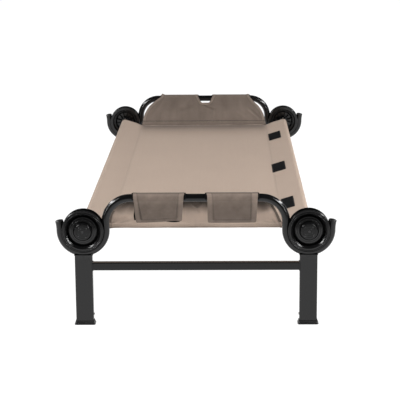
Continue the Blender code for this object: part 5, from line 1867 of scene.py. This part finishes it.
    # The tape's own stitching, a rectangle inside the hems.
    top_row = 5 + 7 + 7 + 3
    box_row = shape[0] - 15
    rows_out.append((surface[top_row, 13:-13], normal[top_row, 13:-13]))
    rows_out.append((surface[top_row:box_row, 13], normal[top_row:box_row, 13]))
    rows_out.append((surface[top_row:box_row, -14], normal[top_row:box_row, -14]))
    rows_out.append((surface[box_row, 13:-13], normal[box_row, 13:-13]))
    thread = stitches(f"{end}_flap_stitching_{side}", rows_out, DARK_THREAD, lift=0.0001)
    return piece, thread


def tape_piece(name, end, across, turns, bare, lift):
    """Hook tape round the bar under the cloth. bare is where it is free of the cloth, and stands up."""
    xs = np.concatenate([np.linspace(across[0], across[0] + 0.0036, 5), np.linspace(across[0] + 0.006, across[1] - 0.006, 40), np.linspace(across[1] - 0.0036, across[1], 5)])
    angles = np.radians(np.linspace(*turns, 30))
    t, x = np.meshgrid(angles, xs, indexing="ij")
    free = np.minimum(x - across[0], across[1] - x) < bare
    r = 0.01305
    rise = 0.0005 * wobble(np.stack([x.ravel() * 0, t.ravel(), 0 * t.ravel()], 1), (1.0, 6.0, 1.0), across[0] * 100)
    verts = to_world(end, x.ravel(), r * np.cos(t).ravel(), BAR_Z + r * np.sin(t).ravel())
    faces = grid_faces(*x.shape)
    normal = normals_of(verts, faces)
    centre = to_world(end, np.array(0.0), np.array(0.0), np.array(BAR_Z))
    k = x.size // 2
    if (verts[k] - centre) @ (normal[k] * [0, 1, 1]) < 0:
        faces = faces[:, ::-1]
    raised = smoothstep(math.radians(lift[0]), math.radians(lift[1]), t.ravel())
    over = 0.00025 + 0.00165 * raised + np.where(free.ravel(), 0.0008 + np.abs(rise), 0.0)
    uv = np.stack([x.ravel(), t.ravel() * WRAP_R], 1)
    return cloth_piece(name, verts, faces, uv, over, 0.00025, [HOOKS], fold=0.3)


def hook_lining(end, side, sign, reach_out):
    """Hook tape on the inside of a flap, below the bar."""
    curve = flap_place(0.0)[4]
    shift = TAB_SHIFT[end]
    near, far = TAB_IN + sign * shift, TAB_OUT + sign * shift
    down = np.linspace(BAR_Z - 0.388, BAR_Z - FLAP_END_Z - 0.0045, 26)
    out = far - 0.012 + (0.012 + reach_out) * smoothstep(0.60, 1.0, (down - down[0]) / (down[-1] - down[0])) if reach_out else np.full(26, far - 0.016)
    if reach_out:
        out = far - 0.0085 * (down / 0.074) ** 1.2 + reach_out * smoothstep(0.30, 0.80, (down - down[0]) / (down[-1] - down[0]))
    rows = []
    for d, edge in zip(down, out):
        for x in np.linspace(near + 0.014, edge, 44):
            low = 0.0071 * smoothstep(0.80, 1.0, (d - down[0]) / (down[-1] - down[0])) * bell(x - 0.067, 0.038) if reach_out else 0.0
            rows.append((sign * x, d + low))
    rows = np.array(rows)
    y = np.full(len(rows), -WRAP_R + 0.0013)
    verts = to_world(end, rows[:, 0], y, BAR_Z - rows[:, 1])
    faces = grid_faces(26, 44)
    normal = normals_of(verts, faces)
    inward = 1.0 if end == "footend" else -1.0
    if normal[300][1] * inward < 0:
        faces = faces[:, ::-1]
    points = np.stack([rows[:, 0], rows[:, 1], 0 * rows[:, 0]], 1)
    over = 0.0007 + 0.0002 * wobble(points, (600.0, 600.0, 1.0), 7.0)
    return cloth_piece(f"{end}_flap_hook_lining_{side}", verts, faces, rows, over, 0.0002, [HOOKS], fold=0.3)


panels, flaps, trims = {}, {}, {}
for end in ENDS:
    panel, trim = panel_piece(end)
    panels[end] = carries(panel, "deck", "panel_cloth", f"{end}_panel")
    trim.append(base_roll(end))
    for sign in (-1, 1):
        shift = TAB_SHIFT[end]
        across = sorted((sign * (TAB_IN - 0.0046) + shift, sign * (TAB_OUT + 0.0046) + shift))
        tape = tape_piece(f"{end}_bar_tape_{sign + 1}", end, across, (38.0, HINGE_DEG - 0.6), 0.0046, (58.0, 86.0))
        trim.append(carries(tape, "deck", "hook_fastener"))
    trims[end] = trim
    for sign in (-1, 1):
        world_sign = sign if end == "footend" else -sign
        side = "left" if world_sign < 0 else "right"
        flap, thread = flap_piece(end, side, sign)
        hinge = math.radians(HINGE_DEG)
        reach = WRAP_R + 0.0008
        start = to_world(end, np.array(0.11 * sign), np.array(reach * math.cos(hinge)), np.array(BAR_Z + reach * math.sin(hinge)))
        later = math.radians(HINGE_DEG + 20)
        stop = to_world(end, np.array(0.11 * sign), np.array(reach * math.cos(later)), np.array(BAR_Z + reach * math.sin(later)))
        body = f"{end}_flap_body_{side}"
        shift = TAB_SHIFT[end]
        across = sorted((sign * (TAB_IN - 0.0046) + shift, sign * (TAB_OUT + 0.0046) + shift))
        tape = tape_piece(f"{end}_flap_tape_{side}", end, across, (HINGE_DEG + 0.6, 190.0), 0.0046, (176.0, 138.0))
        lining = hook_lining(end, side, sign, 0.0050 if (end, sign) == ("footend", -1) else 0.0)
        for obj in (flap, thread, tape, lining):
            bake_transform(obj)
        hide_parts(f"{end}_flap_{side}")
        flaps[end, side] = (flap, thread, tape, lining)


# ------------------------------------------------------ hook-and-loop patches
def patch_piece(place, y):
    """A rectangle of loop tape on the right sleeve, sewn down all round."""
    cols, rows = 64, 170
    u = np.linspace(-0.5, 0.5, cols)
    v = np.linspace(-0.5, 0.5, rows)
    uu, vv = np.meshgrid(u, v)
    # The foot one is sewn a little narrower, and each sits a little differently.
    width, out_x, out_y = {"foot": (0.0425, 0.0010, -0.008), "middle": (PATCH_W, -0.0070, 0.0), "head": (PATCH_W, 0.0, 0.0)}[place]
    y = y + out_y
    a, b = uu * width, vv * PATCH_L
    edge = np.minimum(width / 2 - np.abs(a), PATCH_L / 2 - np.abs(b))
    corner = 0.0025
    da, db = np.abs(a) - (width / 2 - corner), np.abs(b) - (PATCH_L / 2 - corner)
    out = (da > 0) & (db > 0)
    size = np.sqrt(np.maximum(da, 1e-9) ** 2 + np.maximum(db, 1e-9) ** 2)
    biggest = np.maximum(np.maximum(da, db), 1e-9)
    pull = np.where(out, biggest / size, 1.0)
    a = np.where(out, np.sign(a) * (width / 2 - corner + da * pull), a)
    b = np.where(out, np.sign(b) * (PATCH_L / 2 - corner + db * pull), b)
    points = np.stack([a.ravel(), b.ravel(), np.zeros(a.size) + y], 1)
    pile = smoothstep(0.0030, 0.0048, edge).ravel()
    height = 0.0009 + 0.00085 * pile * (0.75 + 0.25 * wobble(points, (900.0, 900.0, 10.0), 5.0)) + 0.00020 * pile * wobble(points, (380.0, 380.0, 10.0), 11.0)
    height *= smoothstep(-0.0004, 0.0006, edge).ravel() * 0.5 + 0.5
    middle_x = 0.2985 + out_x
    n = np.array([-math.sin(SLOPE), 0.0, math.cos(SLOPE)])
    w = np.array([math.cos(SLOPE), 0.0, math.sin(SLOPE)])
    base = np.array([middle_x, y, slope_z(middle_x)]) + n * 0.00105
    flat = base + a.reshape(-1, 1) * w + b.reshape(-1, 1) * np.array([0.0, 1.0, 0.0])
    faces = grid_faces(rows, cols)
    normal = normals_of(flat, faces)
    if normal[0][2] < 0:
        faces = faces[:, ::-1]
    uv = np.stack([a.ravel(), b.ravel()], 1)
    obj = cloth_piece(f"loop_patch_{place}", flat, faces, uv, height, 0.0002, [LOOPS], fold=0.25)
    rows_out = []
    inset = 0.0022
    w2, l2 = width / 2 - inset, PATCH_L / 2 - inset
    for p, q in (((-w2, -l2), (w2, -l2)), ((w2, -l2), (w2, l2)), ((w2, l2), (-w2, l2)), ((-w2, l2), (-w2, -l2))):
        ts = np.linspace(0, 1, 30)[:, None]
        run = np.array(p) * (1 - ts) + np.array(q) * ts
        pts = base + n * 0.00095 + run[:, :1] * w + run[:, 1:] * np.array([0.0, 1.0, 0.0])
        rows_out.append((pts, np.broadcast_to(n, pts.shape)))
    thread = stitches(f"patch_stitching_{place}", rows_out, BLACK_THREAD, pitch=0.0036, length=0.0027)
    return obj, thread


for place, y in PATCH_Y.items():
    obj, thread = patch_piece(place, y)
    carries(obj, "deck", "hook_fastener", f"hook_patch_{place}")
    carries(thread, "deck", "hook_fastener")

# -------------------------------------------- nodes that keep their CAD shape
for name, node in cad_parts.items():
    if node.hide_render:
        continue
    node.data.materials.clear()
    node.data.materials.append(ZINC)

# ------------------------------------------------------------ the trims and flap parts, as lists
for end in ENDS:
    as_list(trims[end])
for (end, side), (flap, *parts) in flaps.items():
    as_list(parts)

# ------------------------------------------------------- floor, light, camera
floor_mesh = bpy.data.meshes.new("floor")
bm = bmesh.new()
bmesh.ops.create_grid(bm, x_segments=1, y_segments=1, size=40.0)
bm.to_mesh(floor_mesh)
bm.free()
floor = bpy.data.objects.new("floor", floor_mesh)
bpy.context.scene.collection.objects.link(floor)
pale = Finish("pale_floor")
speck = pale.noise(pale.place(), 3.0, 2.0)
pale.set(colour=pale.mix(speck, (0.115, 0.115, 0.115), (0.125, 0.125, 0.125)), rough=0.9, level=0.0)
lengthwise = pale.add("ShaderNodeSeparateXYZ")
pale.put(pale.place(), lengthwise.inputs[0])
pale.shader.inputs["Emission Color"].default_value = (1.0, 1.0, 1.0, 1.0)
# The floor in front of the foot end is darker only as the steel and the discs see it.
seen = pale.add("ShaderNodeLightPath").outputs["Is Camera Ray"]
lit = pale.remap(lengthwise.outputs[1], -3.05, -2.0, 0.15, 1.0, smooth=True)
pale.put(pale.math("MAXIMUM", lit, seen), pale.shader.inputs["Emission Strength"])
floor_mesh.materials.append(pale.made)

world = bpy.data.worlds.new("studio")
world.use_nodes = True
bpy.context.scene.world = world
tree = world.node_tree
back = tree.nodes["Background"]
where = tree.nodes.new("ShaderNodeTexCoord")
axes = tree.nodes.new("ShaderNodeSeparateXYZ")
ramp = tree.nodes.new("ShaderNodeValToRGB")
tree.links.new(where.outputs["Generated"], axes.inputs[0])
tree.links.new(axes.outputs[2], ramp.inputs[0])
tree.links.new(ramp.outputs[0], back.inputs[0])
ramp.color_ramp.interpolation = "EASE"
stops = ramp.color_ramp.elements
stops[0].position, stops[0].color = 0.0, (0.5, 0.5, 0.5, 1.0)
stops[1].position, stops[1].color = 0.50, (0.075, 0.075, 0.077, 1.0)
half_way = stops.new(0.10)
half_way.color = (0.14, 0.14, 0.14, 1.0)
back.inputs[1].default_value = 0.85


def softbox(name, place, aim, size, power, shape="RECTANGLE"):
    light = bpy.data.lights.new(name, "AREA")
    light.shape = shape
    light.size, light.size_y = size
    light.energy = power
    obj = bpy.data.objects.new(name, light)
    bpy.context.scene.collection.objects.link(obj)
    obj.location = place
    way = Vector(aim) - Vector(place)
    obj.rotation_euler = way.to_track_quat("-Z", "Y").to_euler()
    return obj


softbox("softbox_left", (-2.8, -0.5, 2.3), (0.0, -0.1, 0.3), (4.8, 0.46), 120.0)
softbox("softbox_right", (2.8, -0.5, 2.3), (0.0, -0.1, 0.3), (4.8, 0.46), 133.0)
softbox("tall_box_left", (-2.6, -2.3, 1.9), (-0.1, -0.95, 0.35), (0.10, 2.6), 38.0)
softbox("tall_box_right", (2.6, -2.3, 1.9), (0.1, -0.95, 0.35), (0.10, 2.6), 41.0)

camera_data = bpy.data.cameras.new("camera")
camera_data.sensor_width = 36.0
camera_data.lens = 1426.64 / 400.0 * 36.0
camera = bpy.data.objects.new("camera", camera_data)
bpy.context.scene.collection.objects.link(camera)
right = Vector((0.99984716, 0.01589912, -0.00727113))
up = Vector((0.00350724, 0.22503590, 0.97434416))
ahead = Vector((-0.01712747, 0.97422074, -0.22494573))
camera.matrix_world = Matrix(
    (
        (right.x, up.x, -ahead.x, 0.08853),
        (right.y, up.y, -ahead.y, -5.23841),
        (right.z, up.z, -ahead.z, 1.37816),
        (0.0, 0.0, 0.0, 1.0),
    )
)
bpy.context.scene.camera = camera
bpy.context.scene.view_settings.view_transform = "Standard"
